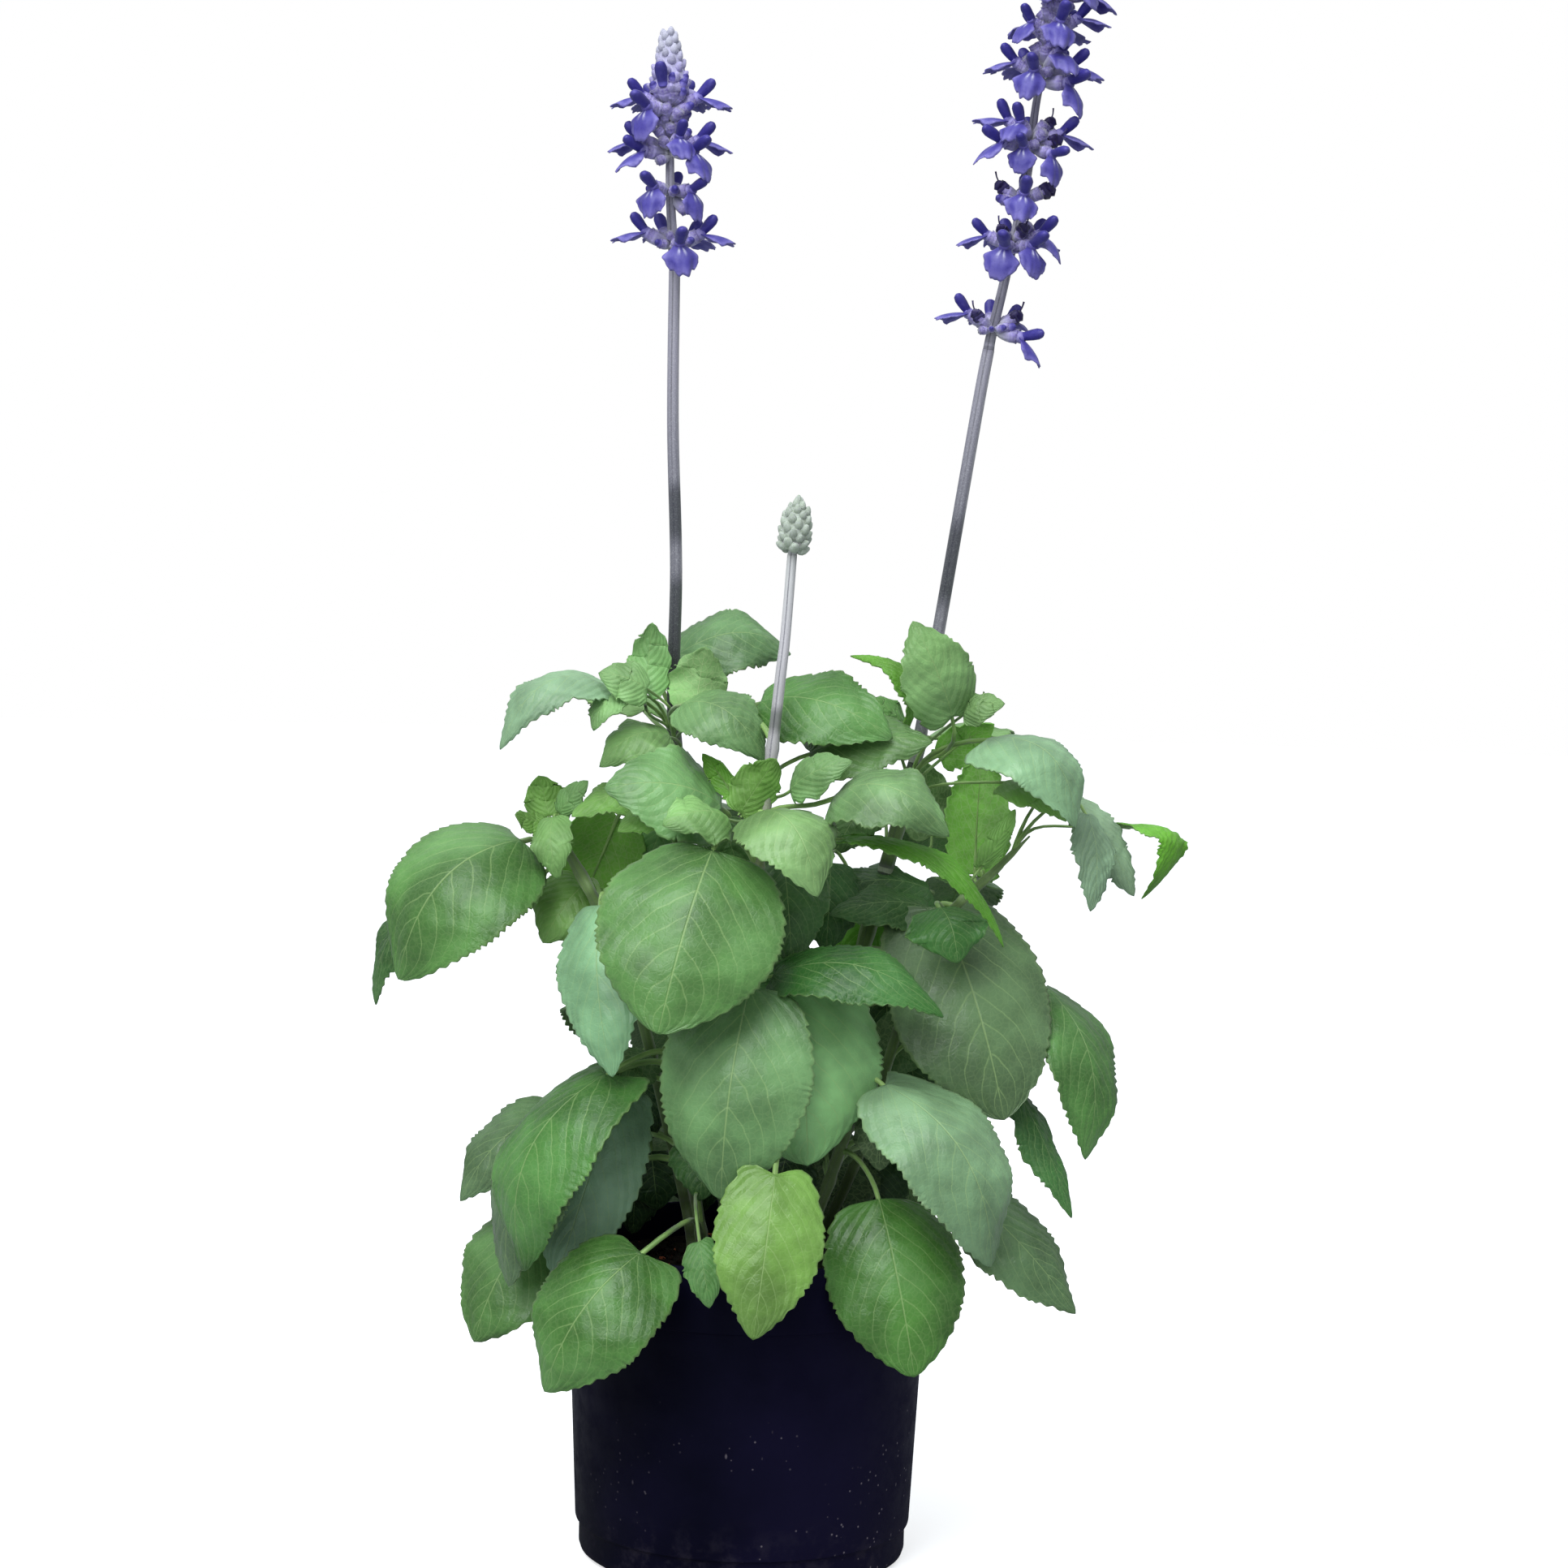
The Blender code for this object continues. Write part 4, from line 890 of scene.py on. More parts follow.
# Each floret: height on the axis, the way it points round it (0 right, 90 back, 270 front), pitch
# over level, size, kind. cone: from, to and half its width. fill: from, to and how many calyces.
spikes = {
    "left_flower_spike": {
        "path": [(-34.3, 0, 458), (-35.1, 0, 468), (-36.4, 0, 485), (-36.9, 0, 502),
                 (-37.3, 0, 519), (-38.2, 0, 543)],
        "radii": (1.95, 1.1), "finish": "green",
        "florets": [
            (467, 180, 21, 1.0, "open"), (467, 2, 19, 1.0, "open"),
            (466, 284, 0, 1.0, "drooping"), (468, 112, 23, 0.95, "open"),
            (467, 50, 18, 0.95, "open"), (467, 228, -4, 0.7, "bud"), (467, 330, 6, 0.7, "bud"),
            (468, 258, 25, 0.6, "calyx"), (486, 238, -2, 0.95, "drooping"),
            (486, 322, -6, 0.9, "drooping"), (485, 78, 18, 0.85, "open"),
            (485, 284, 0, 0.75, "bud"), (486, 170, 0, 0.7, "bud"), (484, 342, -50, 0.85, "calyx"),
            (485, 12, 4, 0.75, "bud"), (500, 180, 15, 1.0, "open"), (499, 208, -3, 1.0, "open"),
            (500, 0, 17, 1.0, "open"), (499, 322, -2, 1.0, "drooping"),
            (501, 294, 16, 0.85, "drooping"), (501, 85, 18, 1.0, "open"),
            (501, 250, 12, 0.75, "calyx"), (502, 345, 30, 0.75, "bud"),
            (503, 215, 35, 0.75, "calyx"), (504, 275, 45, 0.7, "calyx"),
            (505, 320, 50, 0.7, "calyx"), (506, 190, 50, 0.7, "calyx"),
            (498, 235, -25, 0.7, "calyx"), (515, 183, 17, 0.95, "open"),
            (514, 228, -4, 1.05, "drooping"), (515, 0, 17, 1.0, "open"),
            (516, 60, 19, 0.95, "open"), (515, 130, 18, 0.9, "open"),
            (510, 300, 20, 0.8, "calyx"), (511, 258, 25, 0.8, "calyx"),
            (513, 330, 10, 0.8, "bud"), (516, 285, 30, 0.8, "calyx"), (517, 210, 35, 0.8, "bud"),
            (518, 320, 35, 0.8, "bud"), (518, 160, 40, 0.75, "bud"), (519, 20, 40, 0.75, "bud"),
            (520, 345, 42, 0.75, "bud"), (515.5, 251, 40, 0.95, "hooded"),
            (520, 195, 48, 0.75, "bud"), (520, 90, 45, 0.75, "bud"), (520, 290, 55, 0.7, "calyx"),
        ],
        "cone": (520, 543, 8.6), "coneForm": "blunt", "coneTones": ("budLow", "budTop"),
        "buds": 46, "budSize": (1.9, 1.35), "fill": (503, 521, 26), "seed": 4,
    },
    "right_flower_spike": {
        "path": [(77.4, 0, 433), (78.4, 0, 439), (82.7, 0, 459), (89.4, 0, 495), (91.8, 0, 520),
                 (97.5, 0, 552), (101, 0, 583)],
        "radii": (2.05, 1.1), "finish": "green",
        "florets": [
            (441, 180, 23, 0.95, "open"), (441, 100, 21, 0.95, "open"),
            (440, 345, -19, 1.0, "open"), (441, 50, 18, 0.85, "open"),
            (441, 208, 24, 0.75, "withered"), (441, 16, 24, 0.85, "withered"),
            (440, 305, 0, 0.55, "bud"), (440, 262, -4, 0.45, "bud"),
            (440, 222, -10, 0.6, "calyx"), (441, 330, -6, 0.7, "bud"),
            (470, 180, 15, 0.9, "open"), (469, 254, -6, 1.05, "drooping"),
            (469, 306, -4, 1.0, "drooping"), (470, 342, 17, 1.0, "drooping"),
            (470, 105, 18, 1.0, "open"), (470, 45, 18, 1.0, "open"),
            (471, 226, 22, 0.75, "withered"), (471, 288, 22, 0.8, "withered"),
            (470, 5, 0, 0.85, "calyx"), (473, 320, 30, 0.8, "calyx"), (468, 280, 0, 0.7, "calyx"),
            (485, 268, 8, 0.95, "drooping"), (486, 90, 23, 0.9, "open"),
            (486, 186, 24, 0.8, "withered"), (485, 200, 0, 0.8, "bud"),
            (486, 350, 22, 0.85, "withered"), (487, 18, 12, 0.9, "withered"),
            (486, 325, 10, 0.8, "calyx"), (484, 225, 2, 0.7, "bud"), (486, 140, 8, 0.8, "calyx"),
            (507, 176, 33, 1.0, "open"), (505, 200, -1, 1.05, "open"),
            (507, 234, 28, 0.9, "drooping"), (504, 250, -6, 0.85, "drooping"),
            (504, 318, -22, 0.9, "drooping"), (506, 0, 13, 1.0, "open"),
            (506, 95, 18, 1.0, "open"), (505, 345, 6, 0.8, "withered"),
            (508, 12, 38, 0.75, "withered"), (506, 300, 20, 0.8, "calyx"),
            (505, 275, -10, 0.75, "calyx"), (508, 320, 40, 0.75, "calyx"),
            (503, 225, -30, 0.6, "bud"), (530, 182, 18, 0.95, "open"),
            (529, 250, 2, 0.95, "drooping"), (530, 4, 13, 1.0, "open"),
            (532, 300, 24, 1.0, "drooping"), (527, 328, -9, 1.05, "drooping"),
            (530, 120, 18, 1.0, "open"), (530, 60, 18, 1.0, "open"), (531, 215, 25, 0.9, "calyx"),
            (530, 285, -6, 0.75, "calyx"), (533, 258, 50, 0.8, "calyx"),
            (534, 200, 45, 0.8, "calyx"), (544, 212, 18, 0.85, "drooping"),
            (544, 280, 13, 1.0, "drooping"), (545, 350, 23, 0.95, "open"),
            (544, 60, 18, 1.0, "open"), (544, 130, 18, 0.95, "open"),
            (543, 250, 10, 0.8, "calyx"), (546, 310, 30, 0.8, "calyx"),
            (547, 225, 50, 0.8, "calyx"), (549, 275, 55, 0.8, "calyx"),
            (558, 185, 13, 1.0, "open"), (558, 318, 13, 0.95, "drooping"),
            (557, 5, 3, 1.0, "open"), (558, 250, 18, 0.9, "drooping"), (558, 85, 18, 1.0, "open"),
            (559, 215, 35, 0.8, "bud"), (560, 290, 40, 0.8, "bud"), (560, 345, 40, 0.8, "bud"),
            (560, 130, 40, 0.8, "bud"),
        ],
        "cone": (560, 582.5, 6.8), "coneForm": "blunt", "coneTones": ("budLow", "budTop"),
        "buds": 44, "budSize": (1.9, 1.35), "fill": (532, 562, 34), "seed": 9,
    },
    "centre_flower_bud": {
        "path": [(9.7, -40, 359), (10.6, -40, 368), (11.4, -40, 378)],
        "radii": (1.6, 0.8), "finish": "pale",
        "florets": [],
        "cone": (360.5, 379, 5.9), "coneForm": "round", "coneTones": ("budGrey", "budGrey"),
        "buds": 46, "budSize": (1.8, 1.35), "fill": (361, 362, 0), "seed": 2,
    },
}

petalFinish = {"light": (0.170, 0.145, 0.500), "lightShow": 0.28,
               "vein": (0.026, 0.018, 0.190), "veinShow": 0.30}
feltFinish = {"groove": (0.360, 0.330, 0.530), "hair": (0.66, 0.66, 0.74), "show": 0.34}


def petalMaterial():
    v = petalFinish
    material = newMaterial("petalViolet", 0.5, Sheen_Weight=0.10, Sheen_Roughness=0.4)
    place = placeOn(material)
    tone = attribute(material, "petalTone").outputs["Color"]
    patch = rangeOf(material, noiseAt(material, place, 260, 3), 0.40, 0.78, 0, v["lightShow"])
    colour = mixColour(material, patch, tone, v["light"])
    vein = noiseAt(material, place, 1100, 2)
    colour = mixColour(material, rangeOf(material, vein, 0.5, 0.7, 0, v["veinShow"]), colour,
                       v["vein"])
    return finish(material, colour, None, vein, 0.3, 0.25)


def feltMaterial():
    # the white felt on calyces and buds
    v = feltFinish
    material = newMaterial("calyxFelt", 0.85, Sheen_Weight=0.5, Sheen_Roughness=0.35)
    place = placeOn(material)
    tone = attribute(material, "petalTone").outputs["Color"]
    hair = noiseAt(material, place, 1700, 3, 0.7)
    rib = attribute(material, "rib").outputs["Fac"]
    colour = mixColour(material, rangeOf(material, rib, 0.0, 0.5, v["show"], 0), tone, v["groove"])
    hairs = rangeOf(material, hair, 0.42, 0.66, 0, v["show"])
    colour = mixColour(material, hairs, colour, v["hair"])
    return finish(material, colour, None, hair, 0.45, 0.3)


petalViolet = petalMaterial()
calyxFelt = feltMaterial()


def tubePart(partName, tones, sides, material, **settings):
    path = smoothPath([Vector(point) for point in floretShape[partName + "Path"]], 2)
    given = floretShape[partName + "Radii"]
    radii = []
    for i in range(len(path)):
        low = min(i // 2, len(given) - 2)
        radii.append(blendTo(given[low], given[low + 1], i / 2 - low))
    bm = growTube(path, radii, sides, layers=("petalTone",), **settings)
    paintTube(bm, "petalTone", [petalTones[name] for name in tones])
    return useMaterial(bm, material)


def lipPart(droop, draw):
    # the lower lip: it bends down, has notches in its frilled edge and two marks by the throat
    v = floretShape
    bm = newTubeMesh("petalTone")
    tone = bm.verts.layers.float_color["petalTone"]
    bmesh.ops.create_grid(bm, x_segments=22, y_segments=14, size=1)
    start, frills = draw.uniform(0, math.tau), draw.uniform(3.4, 5.2)
    lean, offset = draw.uniform(-0.12, 0.12), draw.uniform(0, 50)
    for vert in bm.verts:
        # a runs across the lip from -1 to 1, b from 0 at the throat to 1 at the edge
        a, b = vert.co.x, (vert.co.y + 1) / 2
        notches = (0.08 * math.exp(-((a - lean) / 0.16) ** 2)
                   + 0.10 * math.exp(-((abs(a) - 0.66) / 0.14) ** 2))
        long = v["lipLength"] * (1 - notches - 0.36 * abs(a) ** 2.4)
        long *= 1 + 0.10 * noise.noise(Vector((a * 3.2, offset, 0)))
        half = blendTo(2.0, v["lipHalf"], softStep(b * 1.55)) * (1 - 0.26 * b ** 3)
        half *= 1 + 0.16 * noise.noise(Vector((b * 3.5, offset + 9, 2 if a > 0 else 7)))
        bend = math.radians(droop) * (0.40 + 0.70 * b)
        frill = b * b * (0.35 + 0.65 * abs(a))
        high = (0.5 + 0.9 * frill * math.sin(frills * a + 1.5 * b + start)
                - 5.2 * a * a * b * (1 - 0.72 * b))
        high += 0.8 * frill * noise.noise(Vector((a * 3, b * 3, offset)))
        vert.co = (v["lipStart"] + long * b * math.cos(bend) + high * math.sin(bend), a * half,
                   0.2 - long * b * math.sin(bend) + high * math.cos(bend))
        edge = max(softStep((b - 0.70) / 0.30), softStep((abs(a) - 0.70) / 0.30) * softStep(b * 2))
        mark = 0.85 * math.exp(-((abs(a) - 0.20) / 0.08) ** 2 - ((b - 0.32) / 0.10) ** 2)
        colour = petalTones["lip"]
        throat = 1 - softStep(b / 0.35)
        for toneName, share in (("lipEdge", edge), ("lipThroat", throat), ("mark", mark)):
            colour = blendColours(colour, petalTones[toneName], share)
        vert[tone] = (*colour, 1)
    bmesh.ops.recalc_face_normals(bm, faces=bm.faces[:])
    bmesh.ops.solidify(bm, geom=bm.faces[:], thickness=v["petal"])
    bmesh.ops.recalc_face_normals(bm, faces=bm.faces[:])
    return useMaterial(bm, 1)


def floretMesh(kind, draw):
    whole = newTubeMesh("petalTone")
    addInto(whole, tubePart("calyx", ("calyxLow", "calyxMid", "calyxHigh", "calyxRim"), 16, 0,
                            ribs=8, flute=0.09))
    if kind in floretShape["lipDroop"]:
        addInto(whole, tubePart("tube", ("calyxRim", "tube", "hoodLow"), 12, 1))
    if kind in floretShape["lipDroop"] or kind == "hooded":
        addInto(whole, tubePart("hood", ("hoodLow", "hood", "hood", "hoodTip"), 14, 1, flat=1.22))
    if kind in floretShape["lipDroop"]:
        addInto(whole, lipPart(floretShape["lipDroop"][kind] * draw.uniform(0.85, 1.15), draw))
    if kind == "bud":
        addInto(whole, tubePart("bud", ("tube", "hoodLow", "hood"), 12, 1))
    if kind == "withered":
        addInto(whole, tubePart("remnant", ("withered", "withered"), 12, 1, ribs=3, flute=0.28))
        addInto(whole, tubePart("style", ("withered", "withered"), 6, 1))
    mesh = bpy.data.meshes.new("floret_" + kind)
    whole.to_mesh(mesh)
    whole.free()
    return mesh


def budMesh():
    # one of the many small buds of a cone, five-ribbed and a little pointed
    bm = newTubeMesh("petalTone")
    rib = bm.verts.layers.float["rib"]
    bmesh.ops.create_uvsphere(bm, u_segments=10, v_segments=7, radius=1)
    for vert in bm.verts:
        vert[rib] = 0.5 + 0.5 * math.cos(5 * math.atan2(vert.co.y, vert.co.x))
        narrowed = 1 - 0.35 * softStep((vert.co.z + 0.2) / 1.2)
        vert.co.x *= narrowed
        vert.co.y *= narrowed
    mesh = bpy.data.meshes.new("bud")
    bm.to_mesh(mesh)
    bm.free()
    return mesh


def paintLast(bm, first, colour):
    tone = bm.verts.layers.float_color["petalTone"]
    bm.verts.ensure_lookup_table()
    for vert in bm.verts[first:]:
        vert[tone] = (*colour, 1)


draw = random.Random(floretShape["seed"])
florets = {}
for kind in ("open", "drooping", "hooded", "bud", "calyx", "withered"):
    drawn = floretShape["lipsDrawn"] if kind in floretShape["lipDroop"] else 1
    florets[kind] = [floretMesh(kind, draw) for _ in range(drawn)]
budOne = budMesh()


def pointing(axis, turn, pitch):
    # level: straight out of the spike at that turn; out: the same, raised by the pitch
    level = Vector((math.cos(turn), math.sin(turn), 0))
    return level, (level * math.cos(pitch) + axis * math.sin(pitch)).normalized()


def frameFrom(place, out, axis, size):
    across = axis.cross(out).normalized()
    up = out.cross(across)
    turned = Matrix((out, across, up)).transposed().to_4x4()
    return Matrix.Translation(place) @ turned @ Matrix.Diagonal((size, size, size, 1))


def coneShare(share, form):
    # half the width of a cone at a share of its height: a blunt cone, or a rounded bud
    if form == "blunt":
        return 1 - 0.60 * share ** 0.8
    return max(1 - 0.46 * abs(2 * share - 0.75) ** 3.2, 0.05)


def growCone(spike, path, plan, draw):
    # a spiral of small buds that lean outwards at the foot and stand up at the top, and a core
    low, high, wide = plan["cone"]
    form = plan["coneForm"]
    lowTone, highTone = (petalTones[name] for name in plan["coneTones"])
    for i in range(plan["buds"]):
        share = (i + 0.5) / plan["buds"]
        place, axis = onPath(path, blendTo(low, high - 0.8, share) * mm)
        level = pointing(axis, i * spiralTurn, 0)[0]
        out = (level * (1.1 - share * 0.9) + axis * (0.25 + 1.4 * share)).normalized()
        size = blendTo(*plan["budSize"], share) * mm * draw.uniform(0.88, 1.12)
        before = len(spike.verts)
        addInto(spike, budOne, Matrix.LocRotScale(
            place + level * max(wide * coneShare(share, form) - 1.5, 0.05) * mm,
            Vector((0, 0, 1)).rotation_difference(out), Vector((1, 1, 1.3)) * size))
        light = draw.uniform(0.86, 1.12)
        colour = blendColours(lowTone, highTone, softStep((share - 0.25) * 2))
        paintLast(spike, before, [channel * light for channel in colour])
    core = growTube([onPath(path, blendTo(low, high - 1.4, k / 6) * mm)[0] for k in range(7)],
                    [max(wide * coneShare(k / 6, form) - 1.2, 0.3) * mm for k in range(7)],
                    12, layers=("petalTone",))
    paintTube(core, "petalTone", [lowTone, highTone])
    addInto(spike, core)


for spikeName, plan in spikes.items():
    draw = random.Random(plan["seed"])
    path = smoothPath([Vector(point) * mm for point in plan["path"]], 6)
    first, last = plan["radii"]
    axisPath = [place for place in path if place.z < (plan["cone"][1] - 5) * mm]
    radii = [blendTo(first, last, i / (len(path) - 1)) * mm for i in range(len(axisPath))]
    spike = growTube(axisPath, radii, 16, ribs=4, flute=0.12, turn=0.5, layers=("petalTone",))
    useMaterial(spike, 2)
    for height, turn, pitch, size, kind in plan["florets"]:
        place, axis = onPath(path, height * mm)
        level, out = pointing(axis, math.radians(turn), math.radians(pitch))
        addInto(spike, draw.choice(florets[kind]),
                frameFrom(place + level * 0.6 * mm, out, axis, size * mm))
    low, high, total = plan["fill"]
    for i in range(total):
        # closed calyces that fill the axis between the upper whorls
        place, axis = onPath(path, blendTo(low, high, (i + 0.5) / total) * mm)
        out = pointing(axis, i * spiralTurn, math.radians(draw.uniform(26, 52)))[1]
        kind = "bud" if draw.random() < 0.25 else "calyx"
        addInto(spike, florets[kind][0], frameFrom(place, out, axis, draw.uniform(0.66, 0.82) * mm))
    growCone(spike, path, plan, draw)
    woody = stemPale if plan["finish"] == "pale" else stemGreen
    piece = addObject(spikeName + "_florets", spike, [calyxFelt, petalViolet, woody])
    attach(piece, "root")
    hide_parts(spikeName)
print("flower spikes and bud made")

potShape = {
    "steps": 112,
    "profile": (  # radius and height, from the middle of the underside round to the inside
        (0, 0), (54, 0), (56.6, 0.5), (58.2, 1.6), (58.8, 3.4), (58.8, 11.2), (59.1, 12.0),
        (60.1, 12.5), (60.3, 13.2), (64.0, 91.6), (64.1, 92.3), (64.7, 92.7), (64.8, 93.3),
        (64.8, 113.6), (64.6, 114.5), (64.0, 115.0), (63.0, 115.0), (62.3, 114.4), (62.2, 113.4),
        (62.2, 93.0), (58.6, 12.0), (57.0, 3.4), (54.4, 1.8), (0, 1.8)),
    "drainHoles": 6,
    "drainRing": 40,
    "drainRadius": 4,
    "drainTurn": 0.36,
    "sharpOver": 38,
}

potFinish = {
    "dark": (0.0016, 0.0017, 0.0080),
    # the lighter blue of the random clouds, also used for the painted highlight on the right side
    "light": (0.0070, 0.0058, 0.0240),
    "dust": (0.055, 0.048, 0.066),
    "dustShow": 0.34,
    "dustTo": 0.030,          # height where the dust ends
    "fleck": (0.240, 0.210, 0.240),
    "fleckShow": 0.75,
    "flecksTo": 0.075,
}


def potMaterial():
    v = potFinish
    material = newMaterial("potPlastic", 0.5, Specular_IOR_Level=0.045)
    place = placeOn(material)
    parts = partsOf(material, place)
    across, height = parts["X"], parts["Z"]
    # random clouds, plus a painted highlight: the plastic is painted lighter towards its right side
    cloudAndRightHighlight = plus(material, noiseAt(material, place, 14, 4),
                 rangeOf(material, across, -0.01, 0.06, 0, 0.22))
    colour = mixColour(material, rangeOf(material, cloudAndRightHighlight, 0.3, 0.75), v["dark"], v["light"])
    grime = noiseAt(material, place, 120, 5, 0.65)
    dust = times(material, rangeOf(material, height, 0.004, v["dustTo"], 1, 0),
                 rangeOf(material, grime, 0.46, 0.66))
    colour = mixColour(material, times(material, dust, v["dustShow"]), colour, v["dust"])
    # two sizes of flecks, in patches, more of them low down and to the right
    tall = placeOn(material, (1, 1, 0.5))
    fleck = maths(material, "MAXIMUM",
                  rangeOf(material, cellsAt(material, tall, 150, "F1"), 0.035, 0.085, 1, 0),
                  rangeOf(material, cellsAt(material, place, 300, "F1"), 0.07, 0.15, 1, 0))
    for share in (rangeOf(material, noiseAt(material, place, 30, 2), 0.50, 0.62),
                  rangeOf(material, across, -0.05, 0.03, 0.25, 1),
                  rangeOf(material, height, 0.045, v["flecksTo"], 1, 0), v["fleckShow"]):
        fleck = times(material, fleck, share)
    colour = mixColour(material, fleck, colour, v["fleck"])
    rough = rangeOf(material, grime, 0.3, 0.8, 0.46, 0.72)
    relief = plus(material, times(material, noiseAt(material, place, 900, 3), 0.3), cloudAndRightHighlight)
    return finish(material, colour, rough, relief, 0.22, 0.4)


def spinProfile(profile, steps):
    bm = bmesh.new()
    points = [bm.verts.new((radius * mm, 0, height * mm)) for radius, height in profile]
    edges = [bm.edges.new(pair) for pair in zip(points, points[1:])]
    bmesh.ops.spin(bm, geom=points + edges, axis=(0, 0, 1), cent=(0, 0, 0), steps=steps,
                   angle=math.tau, use_merge=True)
    bmesh.ops.remove_doubles(bm, verts=bm.verts[:], dist=mergeGap)
    bmesh.ops.recalc_face_normals(bm, faces=bm.faces[:])
    return bm


potPiece = addObject("nursery_pot_shell", spinProfile(potShape["profile"], potShape["steps"]),
                     [potMaterial()])
cutterMesh = bmesh.new()
for i in range(potShape["drainHoles"]):
    turn = math.tau * (i + potShape["drainTurn"]) / potShape["drainHoles"]
    ring, radius = potShape["drainRing"] * mm, potShape["drainRadius"] * mm
    bmesh.ops.create_cone(cutterMesh, cap_ends=True, segments=24, radius1=radius, radius2=radius,
                          depth=6 * mm, matrix=Matrix.Translation(
                              (ring * math.cos(turn), ring * math.sin(turn), 1 * mm)))
cutter = addObject("drain_cutter", cutterMesh, [])
drain = potPiece.modifiers.new("Drain holes", "BOOLEAN")
drain.object = cutter
drain.solver = "EXACT"
potPiece.data = bpy.data.meshes.new_from_object(
    potPiece.evaluated_get(bpy.context.evaluated_depsgraph_get()))
potPiece.modifiers.clear()
bpy.data.objects.remove(cutter, do_unlink=True)
potPiece.data.set_sharp_from_angle(angle=math.radians(potShape["sharpOver"]))
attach(potPiece, "root")
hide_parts("nursery_pot")

soilShape = {
    "rings": 26,
    "steps": 96,
    "radius": 61.9,  # at the top
    "top": 103.0,
    "ripple": 2.2,
    "edgeFall": 0.8,
    "crumbs": 620,
    "clayShare": 0.16,
    "seed": 5,
    "dark": ((0.0040, 0.0022, 0.0016), (0.0200, 0.0105, 0.0075)),
    # reddish clay grains: partly their own colour, partly painted light, brightened against the
    # shade they lie in
    "clay": ((0.300, 0.070, 0.028), (0.560, 0.180, 0.085)),
}


def soilMaterial(name, low, high):
    material = newMaterial(name, 0.95, Specular_IOR_Level=0.2)
    lumps = noiseAt(material, placeOn(material), 260, 5, 0.7)
    colour = mixColour(material, rangeOf(material, lumps, 0.35, 0.7), low, high)
    return finish(material, colour, None, lumps, 0.9, 1.2)


def soilPlug(v):
    profile = [(0, 2.2), (54, 2.2), (58.0, 12.4), (v["radius"], 100.5)]
    profile += [(v["radius"] * (1 - k / v["rings"]), v["top"]) for k in range(v["rings"])]
    bm = spinProfile(profile + [(0, v["top"])], v["steps"])
    for vert in bm.verts:
        if vert.co.z > 102 * mm:
            inside = v["radius"] * mm - math.hypot(vert.co.x, vert.co.y)
            edge = softStep(inside / (6 * mm))
            lump = noise.noise(vert.co * 90) * 0.8 + noise.noise(vert.co * 260) * 0.5
            vert.co.z += (lump * edge * v["ripple"] - v["edgeFall"] * (1 - edge)) * mm
    return bm


def crumb(v, draw):
    turn = draw.uniform(0, math.tau)
    out = (v["radius"] - 2.5) * mm * math.sqrt(draw.uniform(0.0, 1.0))
    size = draw.uniform(0.5, 1.5) ** 1.6 * mm
    place = Vector((out * math.cos(turn), out * math.sin(turn),
                    (v["top"] + draw.uniform(-0.4, 1.2)) * mm))
    tumble = draw.uniform(0, 6.28)
    axis = Vector((draw.uniform(-1, 1), draw.uniform(-1, 1), 1)).normalized()
    turned = Matrix.Rotation(tumble, 3, axis).to_quaternion()
    shape = Vector((1, draw.uniform(0.6, 1), draw.uniform(0.5, 0.9))) * size
    bm = bmesh.new()
    bmesh.ops.create_icosphere(bm, subdivisions=1, radius=1)
    for vert in bm.verts:
        vert.co *= draw.uniform(0.8, 1.15)
    bmesh.ops.transform(bm, matrix=Matrix.LocRotScale(place, turned, shape), verts=bm.verts[:])
    return useMaterial(bm, 1 if draw.random() < v["clayShare"] else 0)


soilMesh = soilPlug(soilShape)
draw = random.Random(soilShape["seed"])
for i in range(soilShape["crumbs"]):
    addInto(soilMesh, crumb(soilShape, draw))
soilPiece = addObject("potting_soil_fill", soilMesh, [
    soilMaterial("soilDark", *soilShape["dark"]), soilMaterial("clayGrain", *soilShape["clay"])])
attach(soilPiece, "root")
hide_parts("potting_soil")
print("pot and soil made")

# The floor and the world look white to the camera and give the plant a softer, darker light.
# Each light: place and target in metres, size, power, colour.
stage = {
    "floor": (0.86, 0.87, 0.88),
    "floorBounce": (0.36, 0.37, 0.38),
    "floorGlow": 0.62,
    "sky": (0.90, 0.95, 1.0),
    "zenith": 0.85,
    "horizon": 0.34,
    "lights": {
        "overhead": ((-0.25, -0.70, 1.60), (0, 0, 0.25), 1.3, 19, (0.94, 0.97, 1.0)),
        "front fill": ((-0.55, -1.35, 1.05), (0, 0, 0.2), 1.0, 9, (0.96, 0.98, 1.0)),
    },
}

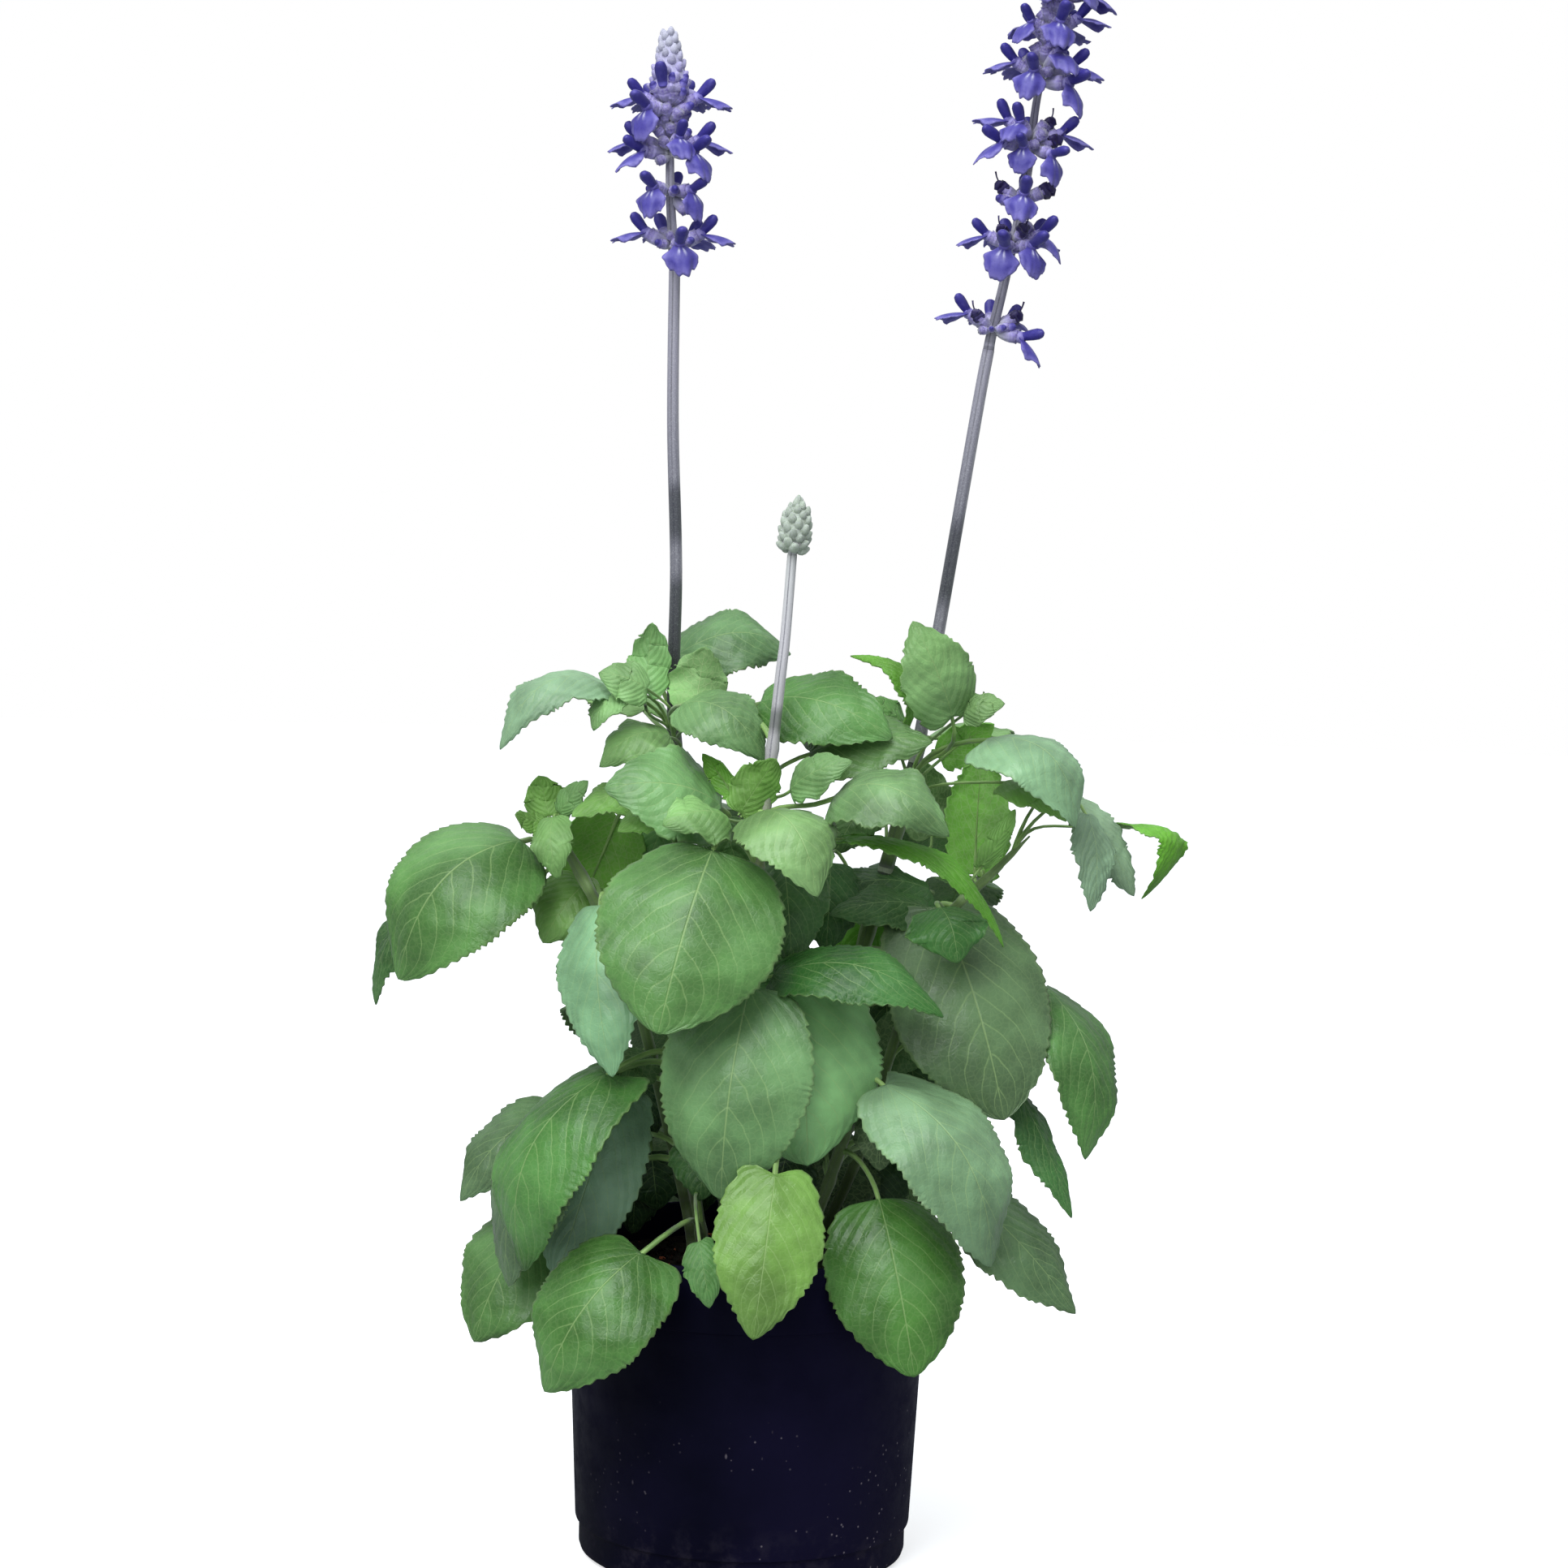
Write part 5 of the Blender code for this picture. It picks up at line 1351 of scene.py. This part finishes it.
floorMesh = bmesh.new()
bmesh.ops.create_circle(floorMesh, cap_ends=True, segments=64, radius=6)
floorMaterial = newMaterial("paleFloor", 0.8)
seenByCamera = node(floorMaterial, "ShaderNodeLightPath").outputs["Is Camera Ray"]
finish(floorMaterial, mixColour(floorMaterial, seenByCamera, stage["floorBounce"], stage["floor"]))
floorShader = floorMaterial.node_tree.nodes["Principled BSDF"]
floorShader.inputs["Emission Color"].default_value = (1, 1, 1, 1)
wire(floorMaterial, times(floorMaterial, seenByCamera, stage["floorGlow"]),
     floorShader.inputs["Emission Strength"])
floor = addObject("floor", floorMesh, [floorMaterial], False)

world = bpy.data.worlds.new("Studio")
scene.world = world
world.use_nodes = True
sky = world.node_tree.nodes["Background"]
sky.inputs["Color"].default_value = (*stage["sky"], 1)
upward = partsOf(world, node(world, "ShaderNodeTexCoord").outputs["Generated"])["Z"]
light = rangeOf(world, upward, 0, 1, stage["horizon"], stage["zenith"], way="LINEAR")
wire(world, light, sky.inputs["Strength"])
white = node(world, "ShaderNodeBackground")
white.inputs["Color"].default_value = (1, 1, 1, 1)
either = node(world, "ShaderNodeMixShader")
wire(world, node(world, "ShaderNodeLightPath").outputs["Is Camera Ray"], either.inputs["Fac"])
wire(world, sky.outputs[0], either.inputs[1])
wire(world, white.outputs[0], either.inputs[2])
wire(world, either.outputs[0], world.node_tree.nodes["World Output"].inputs["Surface"])

for lightName, (place, target, size, power, colour) in stage["lights"].items():
    lamp = bpy.data.lights.new(lightName, "AREA")
    lamp.shape = "DISK"
    lamp.size = size
    lamp.energy = power
    lamp.color = colour
    obj = bpy.data.objects.new(lightName, lamp)
    obj.location = place
    obj.rotation_euler = (Vector(target) - Vector(place)).to_track_quat("-Z", "Y").to_euler()
    scene.collection.objects.link(obj)

view = {"lens": 77.35, "sensor": 36, "place": (0.0088, -1.2, 0.355), "down": 3.7, "roll": 1.4}
camera = bpy.data.objects.new("camera", bpy.data.cameras.new("camera"))
camera.data.lens = view["lens"]
camera.data.sensor_width = view["sensor"]
camera.data.clip_start = 0.05
camera.matrix_world = (Matrix.Translation(view["place"])
                       @ Matrix.Rotation(math.radians(90 - view["down"]), 4, "X")
                       @ Matrix.Rotation(math.radians(view["roll"]), 4, "Z"))
scene.collection.objects.link(camera)
scene.camera = camera
scene.view_settings.view_transform = "Standard"
print("floor, light and camera set")
